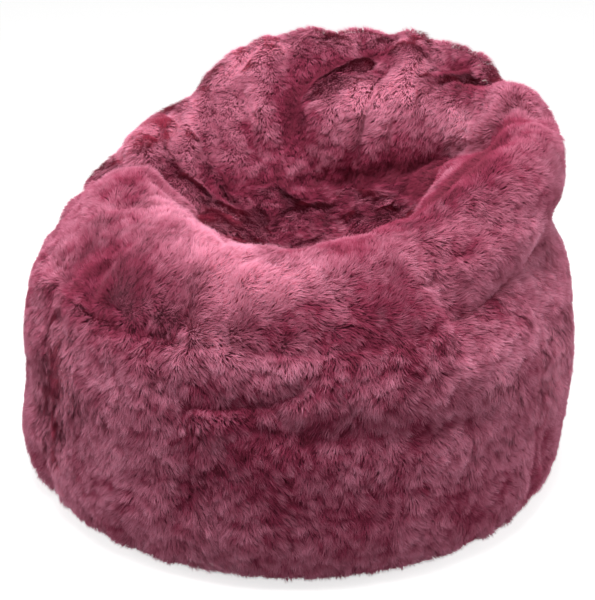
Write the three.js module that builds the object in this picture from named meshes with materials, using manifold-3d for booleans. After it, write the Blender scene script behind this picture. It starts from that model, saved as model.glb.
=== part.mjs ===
// A bean bag chair in long-pile sheepskin, taken apart into its pieces: nine fur panels,
// a two-part base with a zip, a cotton liner with a zip of its own, and the bead filling.
// Millimetres, +Z up. The sitter faces -Y, and the origin is the centre of the base on the floor.
import * as THREE from 'three';
import { mergeVertices } from 'three/addons/utils/BufferGeometryUtils.js';
import Module from 'manifold-3d';

const wasm = await Module();
wasm.setup();

// Driving dimensions of the chair
const CHAIR_RADIUS = 460;
const CHAIR_HEIGHT = 695;
const BASE_RADIUS = 400;
const HEM_ROUND = 55;
const SEAT_HEIGHT = 372;
const SEAT_SHIFT = { x: 14, y: -8 };

// Hide, cloth and seams
const PILE_THICKNESS = 26;
const BASE_THICKNESS = 10;
const LINER_THICKNESS = 2;
const SEAM_GAP = 0.3;

// The rim round the seat at even steps from the front towards +X:
// its radius as a share of CHAIR_RADIUS, then its height as a share of CHAIR_HEIGHT
const RIM_SHARES = [
  [0.53, 0.69],
  [0.54, 0.69],
  [0.57, 0.73],
  [0.65, 0.83],
  [0.78, 0.895],
  [0.82, 0.98],
  [0.77, 1.00],
  [0.74, 0.975],
  [0.72, 0.835],
  [0.62, 0.75],
  [0.52, 0.715],
  [0.50, 0.70],
];

// The wall and shoulder under the rim, and the hollow inside it, as shares of the rim's place
const BELLY_HEIGHT_SHARE = 0.35;
const WAIST_HEIGHT_SHARE = 0.58;
const WALL_TOP_SHARES = { inward: 0.12, up: 0.81 };
const SHOULDER_SHARES = { inward: 0.45, up: 0.96 };
const HOLLOW_SHARES = { out: 0.76, up: 0.68 };
const BOWL_SHARES = { out: 0.42, up: 0.20 };

// Stations count along a profile, from the hem over the rim to the middle of the seat
const WALL_TOP = 6;
const RIM = 8;
const FRONT_SEAT_EDGE = 9;
const BACK_SEAT_EDGE = 9.8;
const MIDDLE = 11;

// The grid that every soft form is drawn on
const COLUMNS = 48;
const WALL_STATIONS = [0, 1, 2, 3, 3.5, 4, 4.5, 5, 5.5, WALL_TOP];
const SHOULDER_ROWS = 4;
const HOLLOW_ROWS = 5;
const SEAT_ROWS = 4;
const WALL_TOP_ROW = WALL_STATIONS.length - 1;
const RIM_ROW = WALL_TOP_ROW + SHOULDER_ROWS;
const SEAT_EDGE_ROW = RIM_ROW + HOLLOW_ROWS;
const MIDDLE_ROW = SEAT_EDGE_ROW + SEAT_ROWS;

// Folds pressed into the fur by the last sitter, or pushed up between the beads. Each runs through
// places given as [degrees round from the front, station on the profile], and is so many times as
// wide and as high as the plain fold, or as deep where its height is negative.
const FOLD_WIDTH = 40;
const FOLD_HEIGHT = 20;
const FOLD_SHARES = [
  // The pillow that hangs in front of the backrest, between two creases
  { through: [[190, 9.3], [180, 9.0], [170, 8.75], [163, 8.5]], width: 0.9, height: 1 },
  { through: [[163, 8.5], [152, 8.8], [136, 8.6], [122, 8.0]], width: 0.9, height: 1.1 },
  { through: [[180, 9.4], [160, 9.3], [140, 9.05]], width: 1.5, height: 1 },
  { through: [[194, 9.9], [170, 9.8], [152, 9.6], [134, 9.2], [118, 8.8]], width: 0.85, height: -1.3 },
  { through: [[160, 8.3], [146, 8.3], [134, 8.1]], width: 0.85, height: -0.8 },
  // The crease across the seat
  { through: [[226, 10.2], [208, 10.05], [186, 10.0], [164, 10.1]], width: 0.75, height: -0.6 },
  // Flutes down the backrest
  { through: [[242, 8.1], [251, 8.5], [262, 9.0]], width: 0.85, height: -0.55 },
  { through: [[224, 8.2], [231, 8.8], [240, 9.2]], width: 0.85, height: -0.55 },
  { through: [[204, 8.3], [204, 9.1]], width: 0.85, height: -0.45 },
  // The roll of the right arm, which runs on over the front lip
  { through: [[126, 6.8], [112, 6.9], [98, 7.0], [84, 7.1]], width: 1.75, height: 0.7 },
  { through: [[2, 7.0], [18, 7.35], [36, 7.6], [60, 7.6], [84, 7.3], [102, 7.2]], width: 1.1, height: 0.6 },
  { through: [[354, 7.3], [8, 7.5], [20, 7.9]], width: 0.85, height: -0.45 },
  // Where the left arm meets the backrest
  { through: [[262, 7.0], [268, 7.6], [272, 8.2], [274, 8.9]], width: 0.85, height: -0.8 },
  { through: [[282, 6.9], [288, 7.5], [292, 8.1]], width: 1, height: 0.4 },
  { through: [[276, 6.8], [290, 6.7], [304, 6.7], [320, 6.7]], width: 1.85, height: -1.8 },
  { through: [[234, 7.3], [250, 7.1], [268, 6.9]], width: 1.5, height: -0.75 },
  // Creases and sags of the wall
  { through: [[58, 6.1], [80, 5.7], [104, 5.5], [126, 5.3]], width: 1.25, height: -1.5 },
  { through: [[86, 3.1], [106, 3.1], [126, 3.1]], width: 2.25, height: 0.6 },
  { through: [[276, 2.3], [292, 2.3], [308, 2.3]], width: 2, height: 0.7 },
  { through: [[14, 4.1], [30, 3.85], [46, 3.7], [60, 3.6]], width: 0.8, height: -0.8 },
  { through: [[84, 5.2], [80, 3.8], [84, 2.5]], width: 1, height: -0.4 },
  { through: [[318, 5.6], [322, 3.7], [318, 2.5]], width: 1, height: -0.5 },
  { through: [[152, 5.4], [156, 3.4], [150, 2.3]], width: 1, height: -0.4 },
  { through: [[204, 5.8], [198, 3.8], [204, 2.4]], width: 1, height: -0.45 },
  { through: [[240, 4.8], [246, 3.2], [238, 2.3]], width: 1, height: -0.4 },
  { through: [[160, 4.3], [186, 4.0], [222, 4.4]], width: 1, height: -0.4 },
];

// The zip in the cover's base runs along X behind the middle. Its slider waits at the +X end.
const BASE_ZIP = {
  x: 0,
  y: 120,
  chainLength: 600,
  chainThickness: 2.4,
  toothPitch: 12,
  toothReach: 1,
  toothGap: 0.4,
  cordWidth: 1.7,
  tapeWidth: 14,
  tapeThickness: 0.8,
  stopLength: 3,
  plateThickness: 1,
  sliderLength: 18,
  sliderWidth: 13,
  sliderNeck: 9,
  flangeWidth: 1.1,
  wedgeWidth: 2,
  wedgeLength: 7.5,
  sunk: 0.9,
};
const PULL = { length: 34, width: 8, thickness: 1.2, eyeLength: 6, eyeWidth: 4.2 };
const BAIL = { width: 2.2, wall: 1.2, openingLength: 4, openingHeight: 1.9 };

// The zip in the liner's base has no pull, so that children can't open it
const LINER_ZIP = {
  ...BASE_ZIP,
  x: 60,
  y: -90,
  chainLength: 300,
  chainThickness: 1.6,
  tapeWidth: 12,
  plateThickness: 0.6,
  sliderLength: 12,
  sliderWidth: 11.4,
  sliderNeck: 8.8,
  wedgeLength: 5,
};
const LINER_TAPE_TAIL = 8;
const RUNNING_GAP = 0.3;

const radians = THREE.MathUtils.degToRad;
const columnAngle = (column) => (2 * Math.PI * column) / COLUMNS;
const columnAt = (degreesRound) => Math.round((degreesRound * COLUMNS) / 360);

function fabric(color, roughness = 0.95) {
  return new THREE.MeshStandardMaterial({ color, roughness, metalness: 0 });
}

const FUR = fabric(0xa8506e);
const SUEDE = fabric(0x5d3038, 0.9);
const COTTON = fabric(0xe6ddcc, 0.9);
const BEADS = fabric(0xf6f6f3, 0.6);
const TAPE = fabric(0x4a252f, 0.85);
const TEETH = new THREE.MeshStandardMaterial({ color: 0x6b3a45, roughness: 0.45, metalness: 0 });
const METAL = new THREE.MeshStandardMaterial({ color: 0xb9b6b0, roughness: 0.3, metalness: 1 });

// The outer form

const rimCurve = new THREE.CatmullRomCurve3(
  RIM_SHARES.map(([radius, height]) => new THREE.Vector3(radius * CHAIR_RADIUS, 0, height * CHAIR_HEIGHT)),
  true,
  'catmullrom',
);

// The chair's section at one azimuth, with the radius as X and the height as Z
function profile(azimuth) {
  const rim = rimCurve.getPoint(azimuth / (2 * Math.PI));
  const at = (radius, height) => new THREE.Vector3(radius, 0, height);
  const hem = [-90, -45, 0].map((angle) => at(
    BASE_RADIUS + HEM_ROUND * Math.cos(radians(angle)),
    HEM_ROUND + HEM_ROUND * Math.sin(radians(angle)),
  ));
  const outside = (inward, up) => at(CHAIR_RADIUS + (rim.x - CHAIR_RADIUS) * inward, rim.z * up);
  const inside = ({ out, up }) => at(rim.x * out, SEAT_HEIGHT + (rim.z - SEAT_HEIGHT) * up);
  return new THREE.CatmullRomCurve3([
    ...hem,
    outside(0, BELLY_HEIGHT_SHARE),
    outside(0, WAIST_HEIGHT_SHARE),
    outside(WALL_TOP_SHARES.inward / 2, (WAIST_HEIGHT_SHARE + WALL_TOP_SHARES.up) / 2),
    outside(WALL_TOP_SHARES.inward, WALL_TOP_SHARES.up),
    outside(SHOULDER_SHARES.inward, SHOULDER_SHARES.up),
    outside(1, 1),
    inside(HOLLOW_SHARES),
    inside(BOWL_SHARES),
    inside({ out: 0, up: 0 }),
  ], false, 'centripetal');
}

// The seat's edge lies further down the profile at the back, where the backrest comes first
function seatEdge(azimuth) {
  const backness = (1 - Math.cos(azimuth)) / 2;
  return THREE.MathUtils.lerp(FRONT_SEAT_EDGE, BACK_SEAT_EDGE, backness);
}

function stationOf(row, azimuth) {
  const { lerp } = THREE.MathUtils;
  if (row <= WALL_TOP_ROW) return WALL_STATIONS[row];
  if (row <= RIM_ROW) return lerp(WALL_TOP, RIM, (row - WALL_TOP_ROW) / SHOULDER_ROWS);
  if (row <= SEAT_EDGE_ROW) return lerp(RIM, seatEdge(azimuth), (row - RIM_ROW) / HOLLOW_ROWS);
  return lerp(seatEdge(azimuth), MIDDLE, (row - SEAT_EDGE_ROW) / SEAT_ROWS);
}

// A point of the smooth form, before its folds
function formPoint(azimuth, station) {
  const { x: radius, z: height } = profile(azimuth).getPoint(station / MIDDLE);
  const drawnIn = THREE.MathUtils.smoothstep(station, RIM, MIDDLE);
  return new THREE.Vector3(
    SEAT_SHIFT.x * drawnIn + Math.max(radius, 0) * Math.sin(azimuth),
    SEAT_SHIFT.y * drawnIn - Math.max(radius, 0) * Math.cos(azimuth),
    height,
  );
}

const foldLines = FOLD_SHARES.map(({ through, width, height }) => {
  const places = through.map(([around, station]) => formPoint(radians(around), station));
  return {
    points: new THREE.CatmullRomCurve3(places).getPoints(10 * places.length),
    width: FOLD_WIDTH * width,
    height: FOLD_HEIGHT * height,
  };
});

function foldHeight(point) {
  return foldLines.reduce((sum, { points, width, height }) => {
    const distance = Math.min(...points.map((p) => p.distanceTo(point)));
    return sum + height * Math.exp(-((distance / width) ** 2));
  }, 0);
}

// Each grid place holds its point on the pile, and its directions outwards, round and along the profile
const STEP = 0.01;
const grid = [];
for (let row = 0; row <= MIDDLE_ROW; row += 1) {
  grid.push(Array.from({ length: COLUMNS }, (_, column) => {
    const azimuth = columnAngle(column);
    const station = stationOf(row, azimuth);
    const smooth = formPoint(azimuth, station);
    const round = formPoint(azimuth + STEP, Math.min(station, MIDDLE - STEP))
      .sub(formPoint(azimuth - STEP, Math.min(station, MIDDLE - STEP))).normalize();
    const along = formPoint(azimuth, Math.min(station + STEP, MIDDLE))
      .sub(formPoint(azimuth, Math.max(station - STEP, 0))).normalize();
    const out = round.clone().cross(along).normalize();
    if (row === 0) out.set(0, 0, -1);
    if (row === MIDDLE_ROW) out.set(0, 0, 1);
    const point = smooth.clone().addScaledVector(out, row === 0 ? 0 : foldHeight(smooth));
    return { point, out, round, along };
  }));
}

// The pile is pressed thin at the hem, where the wall is sewn to the base
function pileThickness(row) {
  const [thin, thick] = [BASE_THICKNESS, PILE_THICKNESS];
  return row >= 2 ? thick : thin + ((thick - thin) * row) / 2;
}

// A closed solid between two depths below the pile, over a patch of the grid.
// Its edges stand half a seam gap back from the grid lines that it shares with its neighbours.
function patchSolid(columns, rows, outerDepth, innerDepth) {
  const [firstColumn, lastColumn] = columns;
  const [firstRow, lastRow] = rows;
  const closed = lastColumn - firstColumn === COLUMNS;
  const capped = lastRow === MIDDLE_ROW;
  const width = lastColumn - firstColumn;
  const lastRing = capped ? lastRow - 1 : lastRow;
  const ringLength = closed ? width : width + 1;
  const positions = [];
  const indices = [];

  const place = (row, column, depth) => {
    const { point, out, round, along } = grid[row][((column % COLUMNS) + COLUMNS) % COLUMNS];
    const moved = point.clone().addScaledVector(out, -depth(row));
    if (!closed && column === firstColumn) moved.addScaledVector(round, SEAM_GAP / 2);
    if (!closed && column === lastColumn) moved.addScaledVector(round, -SEAM_GAP / 2);
    if (row === firstRow && row > 0) moved.addScaledVector(along, SEAM_GAP / 2);
    if (row === lastRow && !capped) moved.addScaledVector(along, -SEAM_GAP / 2);
    positions.push(moved.x, moved.y, moved.z);
  };
  const addSide = (depth) => {
    const start = positions.length / 3;
    for (let row = firstRow; row <= lastRing; row += 1) {
      for (let i = 0; i < ringLength; i += 1) place(row, firstColumn + i, depth);
    }
    if (capped) place(lastRow, firstColumn, depth);
    return (row, i) => (capped && row === lastRow
      ? start + (lastRing - firstRow + 1) * ringLength
      : start + (row - firstRow) * ringLength + (closed ? i % width : i));
  };
  const outer = addSide(outerDepth);
  const inner = addSide(innerDepth);
  const quad = (a, b, c, d) => indices.push(a, b, c, a, c, d);

  for (let row = firstRow; row < lastRow; row += 1) {
    for (let i = 0; i < width; i += 1) {
      if (capped && row === lastRing) {
        indices.push(outer(row, i), outer(row, i + 1), outer(lastRow, 0));
        indices.push(inner(row, i + 1), inner(row, i), inner(lastRow, 0));
      } else {
        quad(outer(row, i), outer(row, i + 1), outer(row + 1, i + 1), outer(row + 1, i));
        quad(inner(row, i), inner(row + 1, i), inner(row + 1, i + 1), inner(row, i + 1));
      }
    }
  }
  for (let i = 0; i < width; i += 1) {
    quad(inner(firstRow, i), inner(firstRow, i + 1), outer(firstRow, i + 1), outer(firstRow, i));
    if (!capped) quad(inner(lastRow, i), outer(lastRow, i), outer(lastRow, i + 1), inner(lastRow, i + 1));
  }
  if (!closed) {
    for (let row = firstRow; row < lastRow; row += 1) {
      quad(inner(row, 0), outer(row, 0), outer(row + 1, 0), inner(row + 1, 0));
      quad(inner(row, width), inner(row + 1, width), outer(row + 1, width), outer(row, width));
    }
  }
  return geometryOf(positions, indices);
}

function geometryOf(positions, indices) {
  const geometry = new THREE.BufferGeometry();
  geometry.setAttribute('position', new THREE.Float32BufferAttribute(positions, 3));
  geometry.setIndex(indices);
  geometry.computeVertexNormals();
  return geometry;
}

// The cover's panels: where each lies round the chair, and between which rows
const wall = [0, WALL_TOP_ROW];
const lip = [WALL_TOP_ROW, SEAT_EDGE_ROW];
const COVER_PANELS = {
  front_wall_panel: { around: [-45, 82.5], rows: wall },
  right_wall_panel: { around: [82.5, 195], rows: wall },
  left_wall_panel: { around: [195, 315], rows: wall },
  front_lip_panel: { around: [-30, 52.5], rows: lip },
  right_arm_panel: { around: [52.5, 127.5], rows: lip },
  left_arm_panel: { around: [270, 330], rows: lip },
  crown_panel: { around: [127.5, 270], rows: [WALL_TOP_ROW, RIM_ROW] },
  backrest_panel: { around: [127.5, 270], rows: [RIM_ROW, SEAT_EDGE_ROW] },
  seat_panel: { around: [0, 360], rows: [SEAT_EDGE_ROW, MIDDLE_ROW] },
};

// Solids with straight sides, and joins and cuts between solids

const rectangle = (left, right, front, back) => [[left, front], [right, front], [right, back], [left, back]];

function slab(outline, bottom, top, hole) {
  const points = (places) => places.map(([x, y]) => new THREE.Vector2(x, y));
  const shape = new THREE.Shape(points(outline));
  if (hole) shape.holes.push(new THREE.Path(points(hole)));
  return new THREE.ExtrudeGeometry(shape, { depth: top - bottom, bevelEnabled: false })
    .translate(0, 0, bottom);
}

function toSolid(geometry) {
  const bare = geometry.clone();
  bare.deleteAttribute('normal');
  bare.deleteAttribute('uv');
  const merged = mergeVertices(bare);
  return new wasm.Manifold(new wasm.Mesh({
    numProp: 3,
    vertProperties: new Float32Array(merged.attributes.position.array),
    triVerts: new Uint32Array(merged.index.array),
  }));
}

function fromSolid(solid) {
  const { vertProperties, triVerts } = solid.getMesh();
  return geometryOf(Array.from(vertProperties), Array.from(triVerts));
}

const chair = new THREE.Group();

function add(name, geometry, material, [x, y, z] = [0, 0, 0]) {
  const mesh = new THREE.Mesh(geometry, material);
  mesh.name = name;
  mesh.position.set(x, y, z);
  chair.add(mesh);
}

// The cover: nine panels of fur, and a base in two parts that meet along the zip

for (const [name, { around, rows }] of Object.entries(COVER_PANELS)) {
  add(name, patchSolid(around.map(columnAt), rows, () => 0, pileThickness), FUR);
}

const sliderHome = (zip) => zip.chainLength / 2 + RUNNING_GAP;
const chainHalfWidth = (zip) => zip.toothReach + RUNNING_GAP + zip.cordWidth;
const zipHalfWidth = (zip) => chainHalfWidth(zip) + RUNNING_GAP + zip.tapeWidth;

// The tapes reach past both ends of the slider's run, by as much as lies beyond its middle
function tapeEnds(zip, reach) {
  return [zip.sliderLength / 2 - zip.chainLength / 2 - reach, sliderHome(zip) + reach];
}

// The room that a zip takes in the cloth round it
function zipRoom(zip, reach) {
  const [start, end] = tapeEnds(zip, reach);
  const half = zipHalfWidth(zip) + RUNNING_GAP;
  return rectangle(zip.x + start - RUNNING_GAP, zip.x + end + RUNNING_GAP, zip.y - half, zip.y + half);
}

const baseReach = PULL.length + RUNNING_GAP;
const linerReach = LINER_ZIP.sliderLength / 2 + RUNNING_GAP + LINER_ZIP.stopLength + LINER_TAPE_TAIL;

const baseEdge = Array.from({ length: COLUMNS }, (_, column) => {
  const radius = BASE_RADIUS - SEAM_GAP;
  return [radius * Math.sin(columnAngle(column)), -radius * Math.cos(columnAngle(column))];
});

// The part of the base in front of the zip's line (side -1) or behind it (side 1)
function basePart(side) {
  const seam = BASE_ZIP.y + (side * SEAM_GAP) / 2;
  const kept = (y) => side * (y - seam) > 0;
  const crossing = (a, b) => {
    const share = (seam - a[1]) / (b[1] - a[1]);
    return [THREE.MathUtils.lerp(a[0], b[0], share), seam];
  };
  const outline = baseEdge.flatMap((place, i) => {
    const next = baseEdge[(i + 1) % COLUMNS];
    const points = kept(place[1]) ? [place] : [];
    return kept(place[1]) === kept(next[1]) ? points : [...points, crossing(place, next)];
  });
  const room = zipRoom(BASE_ZIP, baseReach);
  const solid = toSolid(slab(outline, 0, BASE_THICKNESS));
  const cut = toSolid(slab(room, -BASE_THICKNESS, 2 * BASE_THICKNESS));
  return fromSolid(solid.subtract(cut));
}

add('base_front_panel', basePart(-1), SUEDE);
add('base_rear_panel', basePart(1), SUEDE);

// The liner, just inside the cover, with the beads in it

const linerBottom = BASE_THICKNESS + SEAM_GAP;
const linerOuter = (row) => pileThickness(row) + SEAM_GAP;
const linerInner = (row) => linerOuter(row) + LINER_THICKNESS;
const linerRoom = zipRoom(LINER_ZIP, linerReach);

add('liner_wall', patchSolid([0, COLUMNS], [0, WALL_TOP_ROW], linerOuter, linerInner), COTTON);
add('liner_top', patchSolid([0, COLUMNS], [WALL_TOP_ROW, MIDDLE_ROW], linerOuter, linerInner), COTTON);
add('liner_base', slab(baseEdge, linerBottom, linerBottom + LINER_THICKNESS, linerRoom), COTTON);

function beadFill() {
  const depth = (row) => linerInner(row) + SEAM_GAP;
  const positions = [];
  const indices = [];
  const ring = (row, i) => row * COLUMNS + (i % COLUMNS);
  for (let row = 0; row < MIDDLE_ROW; row += 1) {
    for (const { point, out } of grid[row]) {
      positions.push(...point.clone().addScaledVector(out, -depth(row)).toArray());
    }
  }
  const { point, out } = grid[MIDDLE_ROW][0];
  const top = positions.length / 3;
  positions.push(...point.clone().addScaledVector(out, -depth(MIDDLE_ROW)).toArray());
  const bottom = top + 1;
  positions.push(0, 0, depth(0));
  for (let i = 0; i < COLUMNS; i += 1) {
    for (let row = 0; row < MIDDLE_ROW - 1; row += 1) {
      indices.push(ring(row, i), ring(row, i + 1), ring(row + 1, i + 1));
      indices.push(ring(row, i), ring(row + 1, i + 1), ring(row + 1, i));
    }
    indices.push(ring(MIDDLE_ROW - 1, i), ring(MIDDLE_ROW - 1, i + 1), top);
    indices.push(ring(0, i + 1), ring(0, i), bottom);
  }
  const fill = toSolid(geometryOf(positions, indices));
  const overZip = zipMiddle(LINER_ZIP, linerBottom) + zipHalfHeight(LINER_ZIP) + RUNNING_GAP;
  return fromSolid(fill.subtract(toSolid(slab(linerRoom, 0, overZip))));
}

// The zips, each made about the middle of its chain

const zipHalfHeight = (zip) => zip.chainThickness / 2 + RUNNING_GAP + zip.plateThickness;
const zipMiddle = (zip, bottom) => bottom + zipHalfHeight(zip);

// One row of teeth and the cord that holds them, behind (side 1) or in front (side -1)
function toothRow(zip, side) {
  const { chainLength, chainThickness, toothPitch, toothReach, toothGap } = zip;
  const teeth = Math.round(chainLength / toothPitch);
  const pitch = chainLength / teeth;
  const root = toothReach + RUNNING_GAP;
  const end = chainLength / 2;
  const comb = Array.from({ length: teeth }, (_, tooth) => {
    const start = -end + (side > 0 ? tooth : tooth + 1 / 2) * pitch + toothGap / 2;
    const stop = start + pitch / 2 - toothGap;
    return [[start, root], [start, -toothReach], [stop, -toothReach], [stop, root]];
  }).flat();
  const outline = [[-end, root], ...comb, [end, root], [end, chainHalfWidth(zip)], [-end, chainHalfWidth(zip)]];
  return slab(outline.map(([x, y]) => [x, side * y]), -chainThickness / 2, chainThickness / 2);
}

function tape(zip, side, reach) {
  const [start, end] = tapeEnds(zip, reach);
  const inner = chainHalfWidth(zip) + RUNNING_GAP;
  const edges = [side * inner, side * (inner + zip.tapeWidth)].sort((a, b) => a - b);
  return slab(rectangle(start, end, ...edges), -zip.tapeThickness / 2, zip.tapeThickness / 2);
}

function chainStop(zip, start) {
  const half = chainHalfWidth(zip);
  return slab(rectangle(start, start + zip.stopLength, -half, half), -zip.chainThickness / 2, zip.chainThickness / 2);
}

// Two plates with a wedge between them, and flanges that keep the chain in
function sliderBody(zip) {
  const { sliderLength, sliderWidth, sliderNeck, plateThickness, flangeWidth, wedgeLength, wedgeWidth } = zip;
  const end = sliderLength / 2;
  const shoulder = sliderLength / 6;
  const side = (inset) => [
    [-end, sliderNeck / 2 - inset],
    [shoulder, sliderWidth / 2 - inset],
    [end, sliderWidth / 2 - inset],
  ];
  const mirror = (points) => points.map(([x, y]) => [x, -y]).reverse();
  const plate = [...side(0), ...mirror(side(0))];
  const flange = [...side(0), ...side(flangeWidth).reverse()];
  const wedge = [[0, 0], [wedgeLength / 2, -wedgeWidth / 2], [wedgeLength, 0], [wedgeLength / 2, wedgeWidth / 2]];
  const top = zipHalfHeight(zip);
  const within = top - plateThickness / 2;
  const slot = zip.tapeThickness / 2 + RUNNING_GAP;
  return [
    slab(plate, top - plateThickness, top),
    slab(plate, -top, plateThickness - top),
    slab(wedge, -within, within),
    slab(flange, slot, within),
    slab(mirror(flange), slot, within),
    slab(flange, -within, -slot),
    slab(mirror(flange), -within, -slot),
  ].map(toSolid).reduce((joined, solid) => joined.add(solid));
}

// The loop under the slider that holds the pull
function bail(zip) {
  const { width, wall: thickness, openingLength, openingHeight } = BAIL;
  const inner = openingLength / 2;
  const outer = inner + thickness;
  const root = zip.plateThickness / 2;
  const outline = [
    [-outer, root], [-outer, -openingHeight - thickness], [outer, -openingHeight - thickness], [outer, root],
    [inner, root], [inner, -openingHeight], [-inner, -openingHeight], [-inner, root],
  ];
  const loop = slab(outline, -width / 2, width / 2).rotateX(radians(90));
  return toSolid(loop.translate(0, 0, -zipHalfHeight(zip)));
}

// The pull lies along -X from its pivot, with its end bar through the bail
function pullTab() {
  const { length, width, thickness, eyeLength, eyeWidth } = PULL;
  const bar = thickness / 2;
  const corner = width / 4;
  const outline = [
    [bar, -width / 2], [bar, width / 2], [corner - length, width / 2],
    [-length, width / 2 - corner], [-length, corner - width / 2], [corner - length, -width / 2],
  ];
  const eye = rectangle(-bar - eyeLength, -bar, -eyeWidth / 2, eyeWidth / 2);
  return slab(outline, -thickness / 2, thickness / 2, eye);
}

function addZip(prefix, zip, bottom, reach, sliderSolid) {
  const place = [zip.x, zip.y, zipMiddle(zip, bottom)];
  const chainEnd = zip.chainLength / 2;
  const home = sliderHome(zip);
  add(`${prefix}_tape_front`, tape(zip, -1, reach), TAPE, place);
  add(`${prefix}_tape_rear`, tape(zip, 1, reach), TAPE, place);
  add(`${prefix}_teeth_front`, toothRow(zip, -1), TEETH, place);
  add(`${prefix}_teeth_rear`, toothRow(zip, 1), TEETH, place);
  add(`${prefix}_bottom_stop`, chainStop(zip, -chainEnd - RUNNING_GAP - zip.stopLength), METAL, place);
  add(`${prefix}_top_stop`, chainStop(zip, home + zip.sliderLength / 2 + RUNNING_GAP), METAL, place);
  add(`${prefix}_slider`, fromSolid(sliderSolid), METAL, [zip.x + home, zip.y, zipMiddle(zip, bottom)]);
}

add('bead_fill', beadFill(), BEADS);

const baseZipBottom = BASE_THICKNESS - BASE_ZIP.sunk - 2 * zipHalfHeight(BASE_ZIP);
addZip('base_zip', BASE_ZIP, baseZipBottom, baseReach, sliderBody(BASE_ZIP).add(bail(BASE_ZIP)));
add('base_zip_pull', pullTab(), METAL, [
  BASE_ZIP.x + sliderHome(BASE_ZIP),
  BASE_ZIP.y,
  baseZipBottom - BAIL.openingHeight / 2,
]);
addZip('liner_zip', LINER_ZIP, linerBottom, linerReach, sliderBody(LINER_ZIP));

export default chair;
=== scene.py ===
# %% [markdown]
# # A sheepskin bean bag chair
#
# The real chair is a bag of foam beads in a cotton liner, inside a cover sewn from dyed sheepskin.
# A sitter has left a hollow in the top, so one side stands up as a backrest and the rest is a low
# arm and lip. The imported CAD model, the frame, fixes where everything is. This lesson dresses it:
# skins that puff between their seams, long fur, a suede base with a zip, and the liner inside.
#
# Everything is in metres, +Z up. The sitter faces -Y, and the origin is the middle of the base.

# %% Load the frame
import math

import bmesh
import bpy
import numpy as np
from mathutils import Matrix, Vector, noise


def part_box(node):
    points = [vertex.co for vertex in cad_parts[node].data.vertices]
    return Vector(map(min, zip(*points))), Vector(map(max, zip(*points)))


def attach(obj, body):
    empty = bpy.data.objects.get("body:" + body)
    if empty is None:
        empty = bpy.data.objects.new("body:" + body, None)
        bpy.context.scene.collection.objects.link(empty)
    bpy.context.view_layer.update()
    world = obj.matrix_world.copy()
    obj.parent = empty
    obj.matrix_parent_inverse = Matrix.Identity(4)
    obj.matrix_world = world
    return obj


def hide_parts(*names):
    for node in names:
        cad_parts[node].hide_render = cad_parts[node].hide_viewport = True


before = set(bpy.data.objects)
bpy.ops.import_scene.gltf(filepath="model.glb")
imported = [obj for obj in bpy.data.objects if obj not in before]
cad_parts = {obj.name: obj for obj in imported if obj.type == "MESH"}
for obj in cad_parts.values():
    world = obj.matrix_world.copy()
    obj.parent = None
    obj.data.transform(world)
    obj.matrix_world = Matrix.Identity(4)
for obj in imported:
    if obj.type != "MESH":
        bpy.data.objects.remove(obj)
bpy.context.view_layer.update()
scene = bpy.context.scene
scene.view_settings.view_transform = "Standard"
MM = 0.001


def link(name, data):
    """Puts a mesh, a camera or a lamp into the scene, as an object."""
    thing = bpy.data.objects.new(name, data)
    scene.collection.objects.link(thing)
    return thing


def meshed(name, points, faces, edges=(), smooth=False):
    """An object with a mesh of its own."""
    mesh = bpy.data.meshes.new(name)
    mesh.from_pydata(np.asarray(points, float).tolist(), edges, faces)
    if smooth:
        mesh.polygons.foreach_set("use_smooth", [True] * len(faces))
    return link(name, mesh)


# %% [markdown]
# ## The camera
#
# The photograph looks down at the chair from its front right. The angle, distance and lens were
# found by laying the CAD outline over the photograph until the two agreed all the way round.

# %% Camera
VIEW_AZIMUTH = math.radians(21)
VIEW_ELEVATION = math.radians(22.2)
VIEW_DISTANCE = 2.445
LENS, SENSOR_WIDTH = 85, 36  # in millimetres
across_view = Vector((math.cos(VIEW_AZIMUTH), math.sin(VIEW_AZIMUTH), 0))
aim = across_view * 0.002 + Vector((0, 0, 0.290))
towards_camera = Vector((
    math.sin(VIEW_AZIMUTH) * math.cos(VIEW_ELEVATION),
    -math.cos(VIEW_AZIMUTH) * math.cos(VIEW_ELEVATION),
    math.sin(VIEW_ELEVATION),
))

camera = link("photo_camera", bpy.data.cameras.new("photo_camera"))
camera.data.lens, camera.data.sensor_width = LENS, SENSOR_WIDTH
camera.location = aim + towards_camera * VIEW_DISTANCE
camera.rotation_euler = (-towards_camera).to_track_quat("-Z", "Y").to_euler()
scene.camera = camera
print("camera at", [round(c, 3) for c in camera.location])

# %% [markdown]
# ## Wires and nodes
#
# Materials and Geometry Nodes are both trees of nodes. Written out socket by socket they are hard
# to read, so a small class wraps each wire and lets sums be written as sums: `1 - mask * 0.4` adds
# its Math nodes by itself. Vectors and colours go through Vector Math, numbers through Math.

# %% Wires that can be added and multiplied
class Wire:
    """The output of a node, which can be used in a sum like a number or a vector."""

    def __init__(self, nodes, socket):
        self.nodes, self.socket = nodes, socket

    @staticmethod
    def is_vector(value):
        if isinstance(value, Wire):
            return value.socket.type in {"VECTOR", "RGBA"}
        return isinstance(value, (tuple, list, Vector))

    def sum(self, operation, first, second):
        vectors = [self.is_vector(first), self.is_vector(second)]
        if not any(vectors):
            return self.nodes.apply(operation, first, second)
        if operation == "MULTIPLY" and not all(vectors):
            vector, factor = (first, second) if vectors[0] else (second, first)
            return self.nodes.add("ShaderNodeVectorMath", {"operation": "SCALE"},
                                  {0: vector, "Scale": factor})
        return self.nodes.vector(operation, first, second)

    def other(self, name):
        """Another output of the same node."""
        return Wire(self.nodes, self.nodes.find(self.socket.node.outputs, name))


def teach(sign, operation):
    """Lets a wire stand on either side of a sign."""
    setattr(Wire, f"__{sign}__", lambda self, other: self.sum(operation, self, other))
    setattr(Wire, f"__r{sign}__", lambda self, other: self.sum(operation, other, self))


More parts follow.
